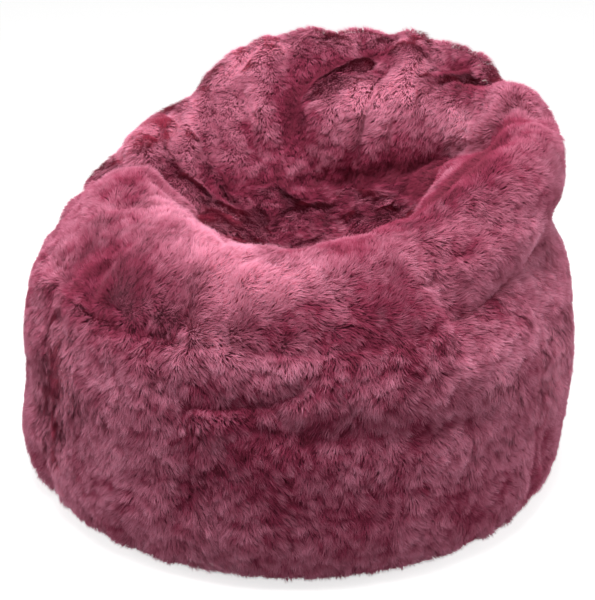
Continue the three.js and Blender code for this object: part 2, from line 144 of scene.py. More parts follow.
SIGNS = {"add": "ADD", "sub": "SUBTRACT", "mul": "MULTIPLY", "truediv": "DIVIDE", "pow": "POWER"}
for sign, operation in SIGNS.items():
    teach(sign, operation)
print("wires know", ", ".join(SIGNS))

# %% Nodes that take numbers and wires alike
class Nodes:
    """Adds nodes to a shader tree or a Geometry Nodes tree."""

    def __init__(self, tree):
        self.tree = tree

    def add(self, kind, settings=None, inputs=None, out=0):
        """A node of that kind, with its settings made first and then its sockets filled."""
        node = self.tree.nodes.new(kind)
        for name, value in (settings or {}).items():
            if name == "stops":
                self.set_stops(node.color_ramp, value)
            else:
                setattr(node, name, value)
        for name, value in (inputs or {}).items():
            self.fill(self.find(node.inputs, name), value)
        return Wire(self, self.find(node.outputs, out))

    def fill(self, socket, value):
        if isinstance(value, Wire):
            self.tree.links.new(value.socket, socket)
        else:
            socket.default_value = value

    @staticmethod
    def find(sockets, name):
        """The socket with that name, or in that place among those that the node's settings show."""
        shown = [s for s in sockets if s.enabled]
        if isinstance(name, int):
            return shown[name]
        return next(s for s in shown if s.name == name)

    @staticmethod
    def set_stops(ramp, stops):
        while len(ramp.elements) > 1:
            ramp.elements.remove(ramp.elements[-1])
        ramp.elements[0].position, ramp.elements[0].color = stops[0]
        for position, color in stops[1:]:
            ramp.elements.new(position).color = color

    def apply(self, operation, *values):
        """A function of numbers, such as SINE or MINIMUM."""
        return self.add("ShaderNodeMath", {"operation": operation}, dict(enumerate(values)))

    def vector(self, operation, *values, out=0):
        """A function of vectors, such as NORMALIZE or CROSS_PRODUCT."""
        return self.add("ShaderNodeVectorMath", {"operation": operation}, dict(enumerate(values)), out)

# %% Colours and materials
def linear(red, green, blue):
    """A colour as Blender's sockets take it, from the 0 to 255 that a picture holds."""
    values = [c / 255 for c in (red, green, blue)]
    return tuple(c / 12.92 if c <= 0.04045 else ((c + 0.055) / 1.055) ** 2.4 for c in values) + (1.0,)


class Finish(Nodes):
    """One material. Plain numbers go straight on the shader's sockets, and patterns through nodes."""

    def __init__(self, name, **plain):
        print("finish", name)
        self.material = bpy.data.materials.new(name)
        self.material.use_nodes = True
        super().__init__(self.material.node_tree)
        self.shader = self.tree.nodes["Principled BSDF"]
        self.set(**plain)

    def set(self, **sockets):
        for name, value in sockets.items():
            self.fill(self.shader.inputs[name.replace("_", " ")], value)

    def place(self):
        """Where a point lies on the object, in metres."""
        return self.add("ShaderNodeTexCoord", out="Object")

    def axis(self, letter):
        """How far along x, y or z a point lies."""
        return self.add("ShaderNodeSeparateXYZ", None, {0: self.place()}, out=letter)

    def noise(self, scale, detail=3.0, at=None):
        return self.add("ShaderNodeTexNoise", None, {
            "Vector": at or self.place(), "Scale": scale, "Detail": detail, "Roughness": 0.6,
        })

    def waves(self, along):
        """A ripple between 0 and 1."""
        return self.apply("SINE", along) * 0.5 + 0.5

    def mix(self, factor, first, second):
        """From one colour to another: each is a wire, or red, green and blue from 0 to 255."""
        first, second = (c if isinstance(c, Wire) else linear(*c) for c in (first, second))
        return self.add("ShaderNodeMix", {"data_type": "RGBA"}, {"Factor": factor, "A": first, "B": second})

    def ramp(self, factor, places, colours):
        stops = [(place, linear(*colour)) for place, colour in zip(places, colours)]
        return self.add("ShaderNodeValToRGB", {"stops": stops}, {0: factor})

    def bump(self, height, distance):
        self.set(Normal=self.add("ShaderNodeBump", None, {"Height": height, "Distance": distance}))


print("a plain pink is", [round(c, 2) for c in linear(182, 62, 97)], "as Blender's sockets take it")

# %% [markdown]
# ## Floor and light
#
# The chair stands on a white studio floor. The camera sees the floor with some light added to it,
# so that it is plain white up to the shadow under the chair, while the fur is lit by a darker one.
# Most light falls from a wide lamp overhead, which leaves the wall in its own shade.

# %% The studio floor
FLOOR_REACH = 15.0
FLOOR_DEPTH = 0.0004  # just under the chair, so that the two never share a plane
FLOOR_GLOW = 0.72  # what the camera sees on top of the lamps' light


def seen_plainly(nodes):
    """1 for rays that the camera sends, also by way of metal or glass, and 0 for the rest."""
    camera_ray, glossy_ray, glass_ray = (nodes.add("ShaderNodeLightPath", out=ray) for ray in (
        "Is Camera Ray", "Is Glossy Ray", "Is Transmission Ray"))
    return nodes.apply("MAXIMUM", nodes.apply("MAXIMUM", camera_ray, glossy_ray), glass_ray)


corners = [(x * FLOOR_REACH, y * FLOOR_REACH, -FLOOR_DEPTH)
           for x, y in ((-1, -1), (1, -1), (1, 1), (-1, 1))]
floor = meshed("studio_floor", corners, [(0, 1, 2, 3)])
white = Finish("studio_white", Base_Color=(0.86, 0.86, 0.86, 1), Roughness=0.9, Specular_IOR_Level=0.1)
glow = white.add("ShaderNodeEmission", None, {"Color": (1, 1, 1, 1), "Strength": FLOOR_GLOW})
lit = white.add("ShaderNodeAddShader", None, {0: Wire(white, white.shader.outputs[0]), 1: glow})
dim = white.add("ShaderNodeBsdfDiffuse", None, {"Color": (0.42, 0.42, 0.42, 1)})
surface = white.add("ShaderNodeMixShader", None, {0: seen_plainly(white), 1: dim, 2: lit})
white.tree.links.new(surface.socket, white.tree.nodes["Material Output"].inputs["Surface"])
floor.data.materials.append(white.material)
print("floor", 2 * FLOOR_REACH, "m across")

# %% The lamps and the sky
SKY_LIGHT, SEEN_SKY = 0.24, 0.8  # its light on the chair, and how much brighter the camera sees it
LAMP_SIZE = 1.2
LAMP_AIM = Vector((0, 0, 0.35))
LAMPS = {  # metres to the right, towards the camera and up, and watts
    "overhead_lamp": (-0.1, 0.5, 2.4, 47),
    "left_lamp": (-2.4, 0.0, 1.0, 14),
    "right_lamp": (2.4, 0.1, 1.0, 15),
}

world = bpy.data.worlds.new("studio_sky")
world.use_nodes = True
scene.world = world
sky = Nodes(world.node_tree)
background = world.node_tree.nodes["Background"]
sky.fill(background.inputs["Color"], (1, 1, 1, 1))
sky.fill(background.inputs["Strength"], SKY_LIGHT + seen_plainly(sky) * SEEN_SKY)

nearer = Vector((towards_camera.x, towards_camera.y, 0)).normalized()
for name, (right, near, up, power) in LAMPS.items():
    lamp = link(name, bpy.data.lights.new(name, "AREA"))
    lamp.data.shape, lamp.data.size, lamp.data.energy = "SQUARE", LAMP_SIZE, power
    lamp.location = across_view * right + nearer * near + Vector((0, 0, up))
    lamp.rotation_euler = (LAMP_AIM - lamp.location).to_track_quat("-Z", "Y").to_euler()
print("sky and", len(LAMPS), "lamps")

# %% [markdown]
# ## The stuffed form
#
# The chair's form follows a rule. A closed curve gives the rim: how far out and how high it is at
# each angle round the seat. At each angle a profile then runs from the hem, up the wall, over the
# rim and down into the seat. The CAD solids are built on the same rule with few points; here it is
# worked out on a fine grid, so that the cloth on it can wrinkle.

# %% Smooth curves through a few points
def spline_at(points, along, closed=False, even=False):
    """Catmull-Rom curves through points (..., n, axes), at a place counted in points.
    An even one spaces its bends by the distance between points, and so never loops."""
    count = points.shape[-2]
    points = np.broadcast_to(points, along.shape + points.shape[-2:])
    start = np.clip(np.floor(along).astype(int), 0, count - 1 if closed else count - 2)
    share = (along - start)[..., None]

    def point(shift):
        i = start + shift
        if closed:
            i = i % count
        inside = np.clip(i, 0, count - 1)
        found = np.take_along_axis(points, inside[..., None, None], axis=-2)[..., 0, :]
        if closed:
            return found
        before = 2 * points[..., 0, :] - points[..., 1, :]
        after = 2 * points[..., -1, :] - points[..., -2, :]
        found = np.where((i < 0)[..., None], before, found)
        return np.where((i > count - 1)[..., None], after, found)

    a, b, c, d = (point(shift) for shift in (-1, 0, 1, 2))
    if even:
        first, middle, last = (np.sqrt(np.linalg.norm(q - p, axis=-1, keepdims=True))
                               for p, q in ((a, b), (b, c), (c, d)))
        leave = ((b - a) / first - (c - a) / (first + middle) + (c - b) / middle) * middle
        arrive = ((c - b) / middle - (d - b) / (middle + last) + (d - c) / last) * middle
    else:
        leave, arrive = (c - a) / 2, (d - b) / 2
    square, cube = share ** 2, share ** 3
    return (b + leave * share + (3 * (c - b) - 2 * leave - arrive) * square
            + (2 * (b - c) + leave + arrive) * cube)

# %% The rim and the profile under it
CHAIR_RADIUS, CHAIR_HEIGHT = 0.460, 0.695
BASE_RADIUS, HEM_ROUND = 0.400, 0.055
SEAT_HEIGHT, SEAT_SHIFT = 0.372, (0.014, -0.008)
RIM_SHARES = np.array([
    (0.53, 0.69), (0.54, 0.69), (0.57, 0.73), (0.65, 0.83), (0.78, 0.895), (0.82, 0.98),
    (0.77, 1.00), (0.74, 0.975), (0.72, 0.835), (0.62, 0.75), (0.52, 0.715), (0.50, 0.70),
])
BELLY, WAIST, SHOULDER, CREST = 0.35, 0.58, 0.81, 0.96  # heights on the wall, as shares of the rim's
HEM_TURNS = (-math.pi / 2, -math.pi / 4, 0)  # stations 0 to 2, round the hem
OUTSIDE = (  # stations 3 to 8: how far in towards the rim, and how high
    (0, BELLY), (0, WAIST), (0.06, (WAIST + SHOULDER) / 2), (0.12, SHOULDER), (0.45, CREST), (1, 1),
)
INSIDE = ((0.76, 0.68), (0.42, 0.20), (0, 0))  # stations 9 to 11: how far out, and how high over the seat
WALL_TOP, RIM, MIDDLE = 6, 8, 11  # stations on the profile


def profile_points(azimuth):
    """The profile's points at an angle round, from hem to middle, as distance out and height."""
    turns = azimuth / (2 * np.pi)
    rim = spline_at(RIM_SHARES * (CHAIR_RADIUS, CHAIR_HEIGHT), turns * len(RIM_SHARES), closed=True)
    radius, height = rim[..., 0], rim[..., 1]
    full = np.ones_like(radius)
    rows = [(full * (BASE_RADIUS + HEM_ROUND * math.cos(turn)),
             full * (HEM_ROUND + HEM_ROUND * math.sin(turn))) for turn in HEM_TURNS]
    rows += [(CHAIR_RADIUS + (radius - CHAIR_RADIUS) * inward, height * up) for inward, up in OUTSIDE]
    rows += [(radius * out, SEAT_HEIGHT + (height - SEAT_HEIGHT) * up) for out, up in INSIDE]
    return np.stack([np.stack(row, axis=-1) for row in rows], axis=-2)


def form_point(azimuth, station):
    """A point of the smooth form, at an angle round from the front and a station on the profile."""
    azimuth, station = np.broadcast_arrays(np.asarray(azimuth, float), np.asarray(station, float))
    place = spline_at(profile_points(azimuth % (2 * np.pi)), station, even=True)
    radius, height = np.maximum(place[..., 0], 0), place[..., 1]
    share = np.clip((station - RIM) / (MIDDLE - RIM), 0, 1)
    drawn_in = share * share * (3 - 2 * share)
    return np.stack([
        SEAT_SHIFT[0] * drawn_in + radius * np.sin(azimuth),
        SEAT_SHIFT[1] * drawn_in - radius * np.cos(azimuth),
        height,
    ], axis=-1)


print("rim runs from", round(RIM_SHARES[:, 1].min() * CHAIR_HEIGHT, 3), "to", CHAIR_HEIGHT, "m high")

# %% [markdown]
# The large folds are part of the form too. Each runs through a few places on it, and pushes the
# surface out or in along a soft ridge. The pillow that hangs in front of the backrest is three of
# these with a crease below, and the flutes down the backrest are shallow ones.

# %% Large folds, as (places, width, height) in millimetres
LARGE_FOLDS = [
    ([(190, 9.3), (180, 9.0), (170, 8.75), (163, 8.5)], 36, 20),
    ([(163, 8.5), (152, 8.8), (136, 8.6), (122, 8.0)], 36, 22),
    ([(180, 9.4), (160, 9.3), (140, 9.05)], 60, 20),
    ([(194, 9.9), (170, 9.8), (152, 9.6), (134, 9.2), (118, 8.8)], 34, -26),
    ([(160, 8.3), (146, 8.3), (134, 8.1)], 34, -16),
    ([(226, 10.2), (208, 10.05), (186, 10.0), (164, 10.1)], 30, -12),
    ([(242, 8.1), (251, 8.5), (262, 9.0)], 34, -11),
    ([(224, 8.2), (231, 8.8), (240, 9.2)], 34, -11),
    ([(204, 8.3), (204, 9.1)], 34, -9),
    ([(126, 6.8), (112, 6.9), (98, 7.0), (84, 7.1)], 70, 14),
    ([(2, 7.0), (18, 7.35), (36, 7.6), (60, 7.6), (84, 7.3), (102, 7.2)], 44, 12),
    ([(354, 7.3), (8, 7.5), (20, 7.9)], 34, -9),
    ([(262, 7.0), (268, 7.6), (272, 8.2), (274, 8.9)], 34, -16),
    ([(282, 6.9), (288, 7.5), (292, 8.1)], 40, 8),
    ([(276, 6.8), (290, 6.7), (304, 6.7), (320, 6.7)], 74, -36),
    ([(234, 7.3), (250, 7.1), (268, 6.9)], 60, -15),
    ([(58, 6.1), (80, 5.7), (104, 5.5), (126, 5.3)], 50, -30),
    ([(86, 3.1), (106, 3.1), (126, 3.1)], 90, 12),
    ([(276, 2.3), (292, 2.3), (308, 2.3)], 80, 14),
    ([(14, 4.1), (30, 3.85), (46, 3.7), (60, 3.6)], 32, -16),
    ([(84, 5.2), (80, 3.8), (84, 2.5)], 40, -8),
    ([(318, 5.6), (322, 3.7), (318, 2.5)], 40, -10),
    ([(152, 5.4), (156, 3.4), (150, 2.3)], 40, -8),
    ([(204, 5.8), (198, 3.8), (204, 2.4)], 40, -9),
    ([(240, 4.8), (246, 3.2), (238, 2.3)], 40, -8),
    ([(160, 4.3), (186, 4.0), (222, 4.4)], 40, -8),
]


def fold_heights(points, folds):
    """How far the folds push each point out, in metres."""
    total = np.zeros(len(points))
    for places, width, height in folds:
        around, station = np.array(places).T
        steps = np.linspace(0, len(places) - 1, 10 * len(places) + 1)
        line = spline_at(form_point(np.radians(around), station), steps, even=True)
        distance = np.min(np.linalg.norm(points[:, None] - line[None], axis=-1), axis=1)
        total += height * MM * np.exp(-(distance / (width * MM)) ** 2)
    return total


print(len(LARGE_FOLDS), "large folds")

# %% The fine grid
COLUMNS = 240
WALL_ROWS, SHOULDER_ROWS, HOLLOW_ROWS, SEAT_ROWS = 46, 18, 20, 20
WALL_TOP_ROW = WALL_ROWS
RIM_ROW = WALL_TOP_ROW + SHOULDER_ROWS
SEAT_EDGE_ROW = RIM_ROW + HOLLOW_ROWS
MIDDLE_ROW = SEAT_EDGE_ROW + SEAT_ROWS
HEM_ROW = 3  # the fur and the folds start here
SEAT_EDGE, EDGE_DRIFT = 9, 0.8  # the seat's first station at the front, and how much later it is behind

azimuths = np.arange(COLUMNS) * 2 * np.pi / COLUMNS
seat_edge = SEAT_EDGE + EDGE_DRIFT * (1 - np.cos(azimuths)) / 2
stations = np.concatenate([
    np.linspace(0, WALL_TOP, WALL_ROWS + 1)[:, None] + 0 * seat_edge,
    np.linspace(WALL_TOP, RIM, SHOULDER_ROWS + 1)[1:, None] + 0 * seat_edge,
    RIM + np.linspace(0, 1, HOLLOW_ROWS + 1)[1:, None] * (seat_edge - RIM),
    seat_edge + np.linspace(0, 1, SEAT_ROWS + 1)[1:, None] * (MIDDLE - seat_edge),
])
angle = np.broadcast_to(azimuths, stations.shape)


def unit(vectors):
    return vectors / np.maximum(np.linalg.norm(vectors, axis=-1, keepdims=True), 1e-9)


STEP = 0.01  # to either side of a point, to find which way the form faces there
smooth = form_point(angle, stations)
inner = np.minimum(stations, MIDDLE - 2 * STEP)
around_way = unit(form_point(angle + STEP, inner) - form_point(angle - STEP, inner))
along_way = unit(form_point(angle, np.minimum(stations + STEP, MIDDLE))
                 - form_point(angle, np.maximum(stations - STEP, 0)))
outward = unit(np.cross(around_way, along_way))
outward[0], outward[-1] = (0, 0, -1), (0, 0, 1)
push = fold_heights(smooth.reshape(-1, 3), LARGE_FOLDS).reshape(stations.shape)
push[0] = 0
pile_surface = smooth + outward * push[..., None]
print("grid of", pile_surface.shape[:2], "places, up to", round(float(pile_surface[..., 2].max()), 3), "m")

# %% [markdown]
# ## Skins that puff
#
# The photograph's folds aren't designed: the beads push the hide out until a seam or a crease holds
# it back. Blender's Cloth does the same here. The whole cover starts a little inside its place and
# slightly too large, pressure fills it, and the hem and the seams hold it. The form is already
# right, so only the wrinkles are kept from this: how far each place moved, less how far its
# neighbourhood moved, up to a limit.

# %% The panels of the cover, by degrees round from the front and by grid rows
PANELS = {
    "front_wall": ((-45, 82.5), (0, WALL_TOP_ROW)),
    "right_wall": ((82.5, 195), (0, WALL_TOP_ROW)),
    "left_wall": ((195, 315), (0, WALL_TOP_ROW)),
    "front_lip": ((-30, 52.5), (WALL_TOP_ROW, SEAT_EDGE_ROW)),
    "right_arm": ((52.5, 127.5), (WALL_TOP_ROW, SEAT_EDGE_ROW)),
    "left_arm": ((270, 330), (WALL_TOP_ROW, SEAT_EDGE_ROW)),
    "crown": ((127.5, 270), (WALL_TOP_ROW, RIM_ROW)),
    "backrest": ((127.5, 270), (RIM_ROW, SEAT_EDGE_ROW)),
    "seat": ((0, 360), (SEAT_EDGE_ROW, MIDDLE_ROW)),
}


def columns_between(first, last):
    """Grid columns from one azimuth in degrees to another, both ends counted."""
    first, last = (round(degrees * COLUMNS / 360) for degrees in (first, last))
    return np.arange(first, last + 1)


seam_mask = np.zeros(stations.shape)
for around, rows in PANELS.values():
    columns = columns_between(*around)
    for row in rows:
        seam_mask[row, columns % COLUMNS] = 1
    if len(columns) <= COLUMNS:
        seam_mask[rows[0]:rows[1] + 1, columns[[0, -1]] % COLUMNS] = 1
seam_mask[MIDDLE_ROW] = 0
print(int(seam_mask.sum()), "grid places lie on a seam")

# %% The cover as one closed mesh
def grid_faces(height, width, whole):
    """The faces of a grid of points, row by row. A whole one closes on itself."""
    place = lambda row, i: row * width + i % width
    return [(place(row, i), place(row, i + 1), place(row + 1, i + 1), place(row + 1, i))
            for row in range(height - 1) for i in range(width if whole else width - 1)]


def cover_mesh(name, points, smooth=False):
    """A closed mesh over the grid: rings of points, one at the middle of the seat, one under it."""
    rings = points[:-1].reshape(-1, 3)
    top = len(rings)
    last = top - COLUMNS
    faces = grid_faces(MIDDLE_ROW, COLUMNS, True)
    faces += [(last + i, last + (i + 1) % COLUMNS, top) for i in range(COLUMNS)]
    faces += [((i + 1) % COLUMNS, i, top + 1) for i in range(COLUMNS)]
    return meshed(name, [*rings, points[-1, 0], (0, 0, points[0, 0, 2])], faces, smooth=smooth)

# %% Fill a cover with pressure
SEAM_HOLD = 0.25  # how firmly a seam is held in its place; the hem is held fully
PRESSURE = 4
SLACK = 0.07  # how much too large the cloth is cut
STIFFNESS, BENDING = 25, 1.5
CLOTH_STEPS, CLOTH_QUALITY = 20, 4


def puffed(points):
    """How far each grid place moves when its cloth is filled with pressure."""
    bag = cover_mesh("filling_cover", points)
    held = bag.vertex_groups.new(name="held")
    held.add([int(i) for i in np.flatnonzero(seam_mask[:-1])], SEAM_HOLD, "REPLACE")
    held.add([*range(COLUMNS), len(bag.data.vertices) - 1], 1.0, "REPLACE")
    cloth = bag.modifiers.new("cloth", "CLOTH").settings
    cloth.effector_weights.gravity = 0
    cloth.use_pressure = True
    cloth.uniform_pressure_force = PRESSURE
    cloth.vertex_group_mass = "held"
    cloth.shrink_min = -SLACK
    cloth.tension_stiffness = cloth.compression_stiffness = STIFFNESS
    cloth.bending_stiffness = BENDING
    cloth.quality = CLOTH_QUALITY
    for step in range(1, CLOTH_STEPS + 1):
        scene.frame_set(step)
    filled = bag.evaluated_get(bpy.context.evaluated_depsgraph_get()).to_mesh()
    places = np.empty(len(filled.vertices) * 3)
    filled.vertices.foreach_get("co", places)
    places = places.reshape(-1, 3)
    moved = np.zeros_like(points)
    moved[:-1] = places[:MIDDLE_ROW * COLUMNS].reshape(MIDDLE_ROW, COLUMNS, 3) - points[:-1]
    moved[-1] = places[MIDDLE_ROW * COLUMNS] - points[-1]
    bpy.data.objects.remove(bag)
    scene.frame_set(1)
    return moved


def averaged(field, rounds):
    """A field on the grid, blended with its neighbours so many times."""
    for _ in range(rounds):
        sides = np.roll(field, 1, axis=1) + np.roll(field, -1, axis=1)
        ends = np.concatenate([field[:1], field[:-1]]) + np.concatenate([field[1:], field[-1:]])
        field = field * 0.5 + (sides + ends) * 0.125
    return field

# %% Fill it, and keep the wrinkles
PILE_HEIGHT = 0.012  # how far the fur stands over the skin
HEM_PILE, PILE_GAIN = 0.004, 0.0016  # its height at the hem, and how much it gains with each row
PUFF_ROOM = 0.004
WRINKLE_GAIN, WRINKLE_LIMIT = 1.2, 0.013
NEIGHBOURHOOD = 60  # rounds of averaging
HEM_FADE, MIDDLE_FADE = 8, 12  # rows over which the wrinkles set in

rows = np.arange(MIDDLE_ROW + 1)[:, None, None]
skin = pile_surface - outward * np.minimum(PILE_HEIGHT, HEM_PILE + PILE_GAIN * rows)
moved = puffed(skin - outward * PUFF_ROOM * (rows > HEM_ROW))
wrinkles = WRINKLE_GAIN * (moved - averaged(moved, NEIGHBOURHOOD))
size = np.linalg.norm(wrinkles, axis=-1, keepdims=True)
wrinkles *= WRINKLE_LIMIT * np.tanh(size / WRINKLE_LIMIT) / np.maximum(size, 1e-9)
free = np.clip((rows - HEM_ROW) / HEM_FADE, 0, 1) * np.clip((MIDDLE_ROW - rows) / MIDDLE_FADE, 0, 1)
skin = skin + wrinkles * free
print("wrinkles: median", round(float(np.median(size)) / MM, 1), "mm,",
      "most", round(float(size.max()) / MM, 1), "mm")

# %% [markdown]
# The sharp creases that the photograph shows are then pressed in where it shows them, such as the
# one under the pillow and the one between the pillow and the right arm, with a crest beside some.
# The seams draw the skin in a little too.

# %% Sharp creases and crests, as (places, width, height) in millimetres
CREASES = [
    # The pillow, and the creases round it
    ([(184, 9.25), (172, 9.15), (160, 9.05), (148, 8.95), (138, 8.85)], 42, 22),
    ([(174, 9.0), (164, 8.9), (158, 8.6), (156, 8.3)], 24, 12),
    ([(190, 9.75), (172, 9.65), (156, 9.55), (140, 9.4), (126, 9.2)], 20, -18),
    ([(150, 8.4), (140, 8.45), (132, 8.4), (124, 8.1)], 26, -16),
    ([(196, 8.85), (186, 8.65), (176, 8.5), (166, 8.4), (156, 8.45)], 17, -13),
    ([(182, 8.0), (180, 8.25), (178, 8.5)], 13, -12),
    ([(198, 9.0), (194, 9.4), (198, 9.8)], 18, -9),
    # Flutes and sags of the backrest
    ([(242, 8.2), (250, 8.6), (262, 8.8)], 18, -10),
    ([(222, 8.4), (222, 8.9), (224, 9.4)], 18, -11),
    ([(240, 8.8), (240, 9.2), (238, 9.6)], 18, -9),
    ([(204, 8.6), (202, 9.1), (206, 9.4)], 17, -8),
    ([(234, 8.2), (242, 8.7), (252, 9.1)], 20, 7),
    ([(214, 8.4), (214, 8.9), (214, 9.3)], 20, 7),
    ([(228, 9.5), (214, 9.6), (200, 9.7)], 18, 6),
    # The seat
    ([(226, 10.1), (210, 10.0), (188, 10.0), (164, 10.1)], 12, -6),
    ([(214, 10.3), (190, 10.45), (150, 10.3)], 22, 6),
    # Arms and lip
    ([(116, 7.7), (106, 8.05), (92, 7.9), (80, 7.85), (70, 7.95)], 14, -12),
    ([(112, 8.5), (98, 8.3), (84, 8.3), (68, 8.4)], 44, -24),
    ([(274, 7.3), (280, 7.8), (286, 8.1)], 20, 8),
    ([(282, 7.5), (276, 8.0), (270, 8.5), (274, 9.0)], 16, -12),
    ([(304, 7.9), (324, 8.0), (346, 7.75), (3, 7.4), (14, 7.05), (34, 7.2), (61, 7.2)], 28, 9),
    ([(10, 7.1), (18, 7.4), (28, 7.6), (42, 7.6), (54, 7.6), (68, 7.6), (82, 7.2), (100, 7.2)], 20, 5),
    ([(6, 6.9), (10, 7.5), (18, 8.2)], 14, -7),
    ([(0, 6.7), (2, 6.2), (6, 5.8)], 16, 6),
    ([(58, 7.0), (68, 7.0), (80, 6.8), (94, 6.4)], 16, -8),
    # Walls
    ([(1, 4.35), (7, 4.4), (14, 4.6), (18, 4.8), (21, 5.0)], 16, -9),
    ([(22, 3.85), (27, 3.78), (33, 3.84), (40, 3.72), (46, 3.62), (52, 3.66), (60, 3.58)], 12, -18),
    ([(4, 3.9), (12, 4.2), (22, 4.4)], 18, 6),
    ([(334, 5.9), (346, 5.8), (356, 6.1)], 26, -8),
    ([(78, 5.2), (78, 3.8), (78, 2.9), (76, 2.1)], 16, -8),
    ([(358, 4.6), (0, 3.6), (0, 2.6)], 16, -7),
    ([(316, 5.5), (320, 3.6), (320, 2.6)], 16, -7),
    ([(60, 6.4), (64, 5.9), (70, 5.2)], 16, -10),
    ([(86, 5.9), (78, 5.8), (64, 6.1)], 18, -8),
]
SEAM_DIP = 0.0015
SEAM_PEAK = 0.35  # what is left of a seam's line of ones after three rounds of averaging

press = fold_heights(pile_surface.reshape(-1, 3), CREASES).reshape(stations.shape)
press -= SEAM_DIP * averaged(seam_mask, 3) / SEAM_PEAK
press[:HEM_ROW + 1] *= np.linspace(0, 1, HEM_ROW + 1)[:, None]
skin = skin + outward * press[..., None]
skin[-1] = skin[-1].mean(axis=0)
print("creases from", round(float(press.min()) / MM, 1), "to", round(float(press.max()) / MM, 1), "mm")

# %% [markdown]
# ## Panels cut from the skin
#
# Nine pieces of hide make up the cover. Each is a closed piece about 9 mm thick, cut from the grid
# between its seams with a hair of room to its neighbours, and it stands for the CAD panel of the
# same name. The hide shows only where the fur parts, so its finish is dry and grainy.

# %% A closed piece between two depths, over a patch of the grid
HIDE_THICKNESS = 0.009
SEAM_ROOM = 0.00015

slope_round = unit(np.roll(skin, -1, axis=1) - np.roll(skin, 1, axis=1))
slope_along = unit(np.concatenate([skin[1:], skin[-1:]]) - np.concatenate([skin[:1], skin[:-1]]))
skin_normal = unit(np.cross(slope_round, slope_along))
skin_normal[-1] = unit(skin_normal[-2].mean(axis=0))
skin_normal[0] = outward[0]


def patch(points, around, rows, room=SEAM_ROOM):
    """What a patch of the grid holds, and whether it closes on itself. Its seams may leave room."""
    columns = columns_between(*around)
    whole = len(columns) > COLUMNS
    columns = (columns[:-1] if whole else columns) % COLUMNS
    rows_kept = slice(rows[0], rows[1] + 1)
    part = points[rows_kept, columns].copy()
    if not room:
        return part, whole
    if not whole:
        part[:, 0] += slope_round[rows_kept, columns[0]] * room
        part[:, -1] -= slope_round[rows_kept, columns[-1]] * room
    if rows[0] > 0:
        part[0] += slope_along[rows[0], columns] * room
    if rows[1] < MIDDLE_ROW:
        part[-1] -= slope_along[rows[1], columns] * room
    return part, whole


def thick_patch(name, outer, inner, around, rows):
    """A closed solid between two grids of points, over the same patch."""
    (top, whole), (under, _) = patch(outer, around, rows), patch(inner, around, rows)
    height, width = top.shape[:2]
    capped = rows[1] == MIDDLE_ROW
    rings = height - 1 if capped else height
    points = [*top[:rings].reshape(-1, 3), *under[:rings].reshape(-1, 3)]
    half = rings * width
    faces = []
    for quad in grid_faces(rings, width, whole):
        faces += [quad, tuple(half + i for i in reversed(quad))]
    place = lambda row, i: row * width + i % width
    for i in range(width if whole else width - 1):
        a, b = place(0, i), place(0, i + 1)
        faces.append((half + a, half + b, b, a))
        c, d = place(rings - 1, i), place(rings - 1, i + 1)
        if capped:
            faces += [(c, d, 2 * half), (half + d, half + c, 2 * half + 1)]
        else:
            faces.append((half + d, half + c, c, d))
    if capped:
        points += [top[-1, 0], under[-1, 0]]
    if not whole:
        for row in range(rings - 1):
            a, b = place(row, 0), place(row + 1, 0)
            faces.append((half + a, a, b, half + b))
            c, d = place(row, width - 1), place(row + 1, width - 1)
            faces.append((c, half + c, half + d, d))
    return meshed(name, points, faces, smooth=True)

# %% Hide finish
hide = Finish("dyed_hide", Roughness=0.95, Specular_IOR_Level=0.15)
grain = hide.noise(900, detail=2)
hide.set(Base_Color=hide.mix(hide.noise(30) * 0.7 + grain * 0.3, (118, 50, 70), (160, 82, 104)))
hide.bump(grain, 0.0006)


def hand_over(piece, node=None):
    """Hides the CAD node that a piece stands for, if any, lets the piece move with the chair, and prints
    its number of faces.
    """
    if node:
        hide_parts(node)
    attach(piece, "chair")
    print(piece.name, len(piece.data.polygons), "faces")


for panel, (around, rows) in PANELS.items():
    piece = thick_patch(panel + "_hide", skin, skin - skin_normal * HIDE_THICKNESS, around, rows)
    piece.data.materials.append(hide.material)
    hand_over(piece, panel + "_panel")

# %% [markdown]
# ## Long fur
#
# The fur is what everyone sees: strands about 20 mm long that rise from the hide, lean over with the
# nap, and gather into locks. Real strands are far too many, so each blade here stands for a small
# bundle. Geometry Nodes scatter the roots over a patch of skin, work out where each bundle leans,
# and draw it towards the middle of its lock, so that locks close at the tip and part at the root.

# %% A Geometry Nodes tree with named inputs
# Attributes that only the recipes read
HELPERS = "root up lean gather long tone roll lift across along nap shade stand".split()


def applied(piece):
    """What a piece's modifiers make of it, as a plain mesh. They come off the piece."""
    mesh = bpy.data.meshes.new_from_object(piece.evaluated_get(bpy.context.evaluated_depsgraph_get()))
    piece.modifiers.clear()
    return mesh


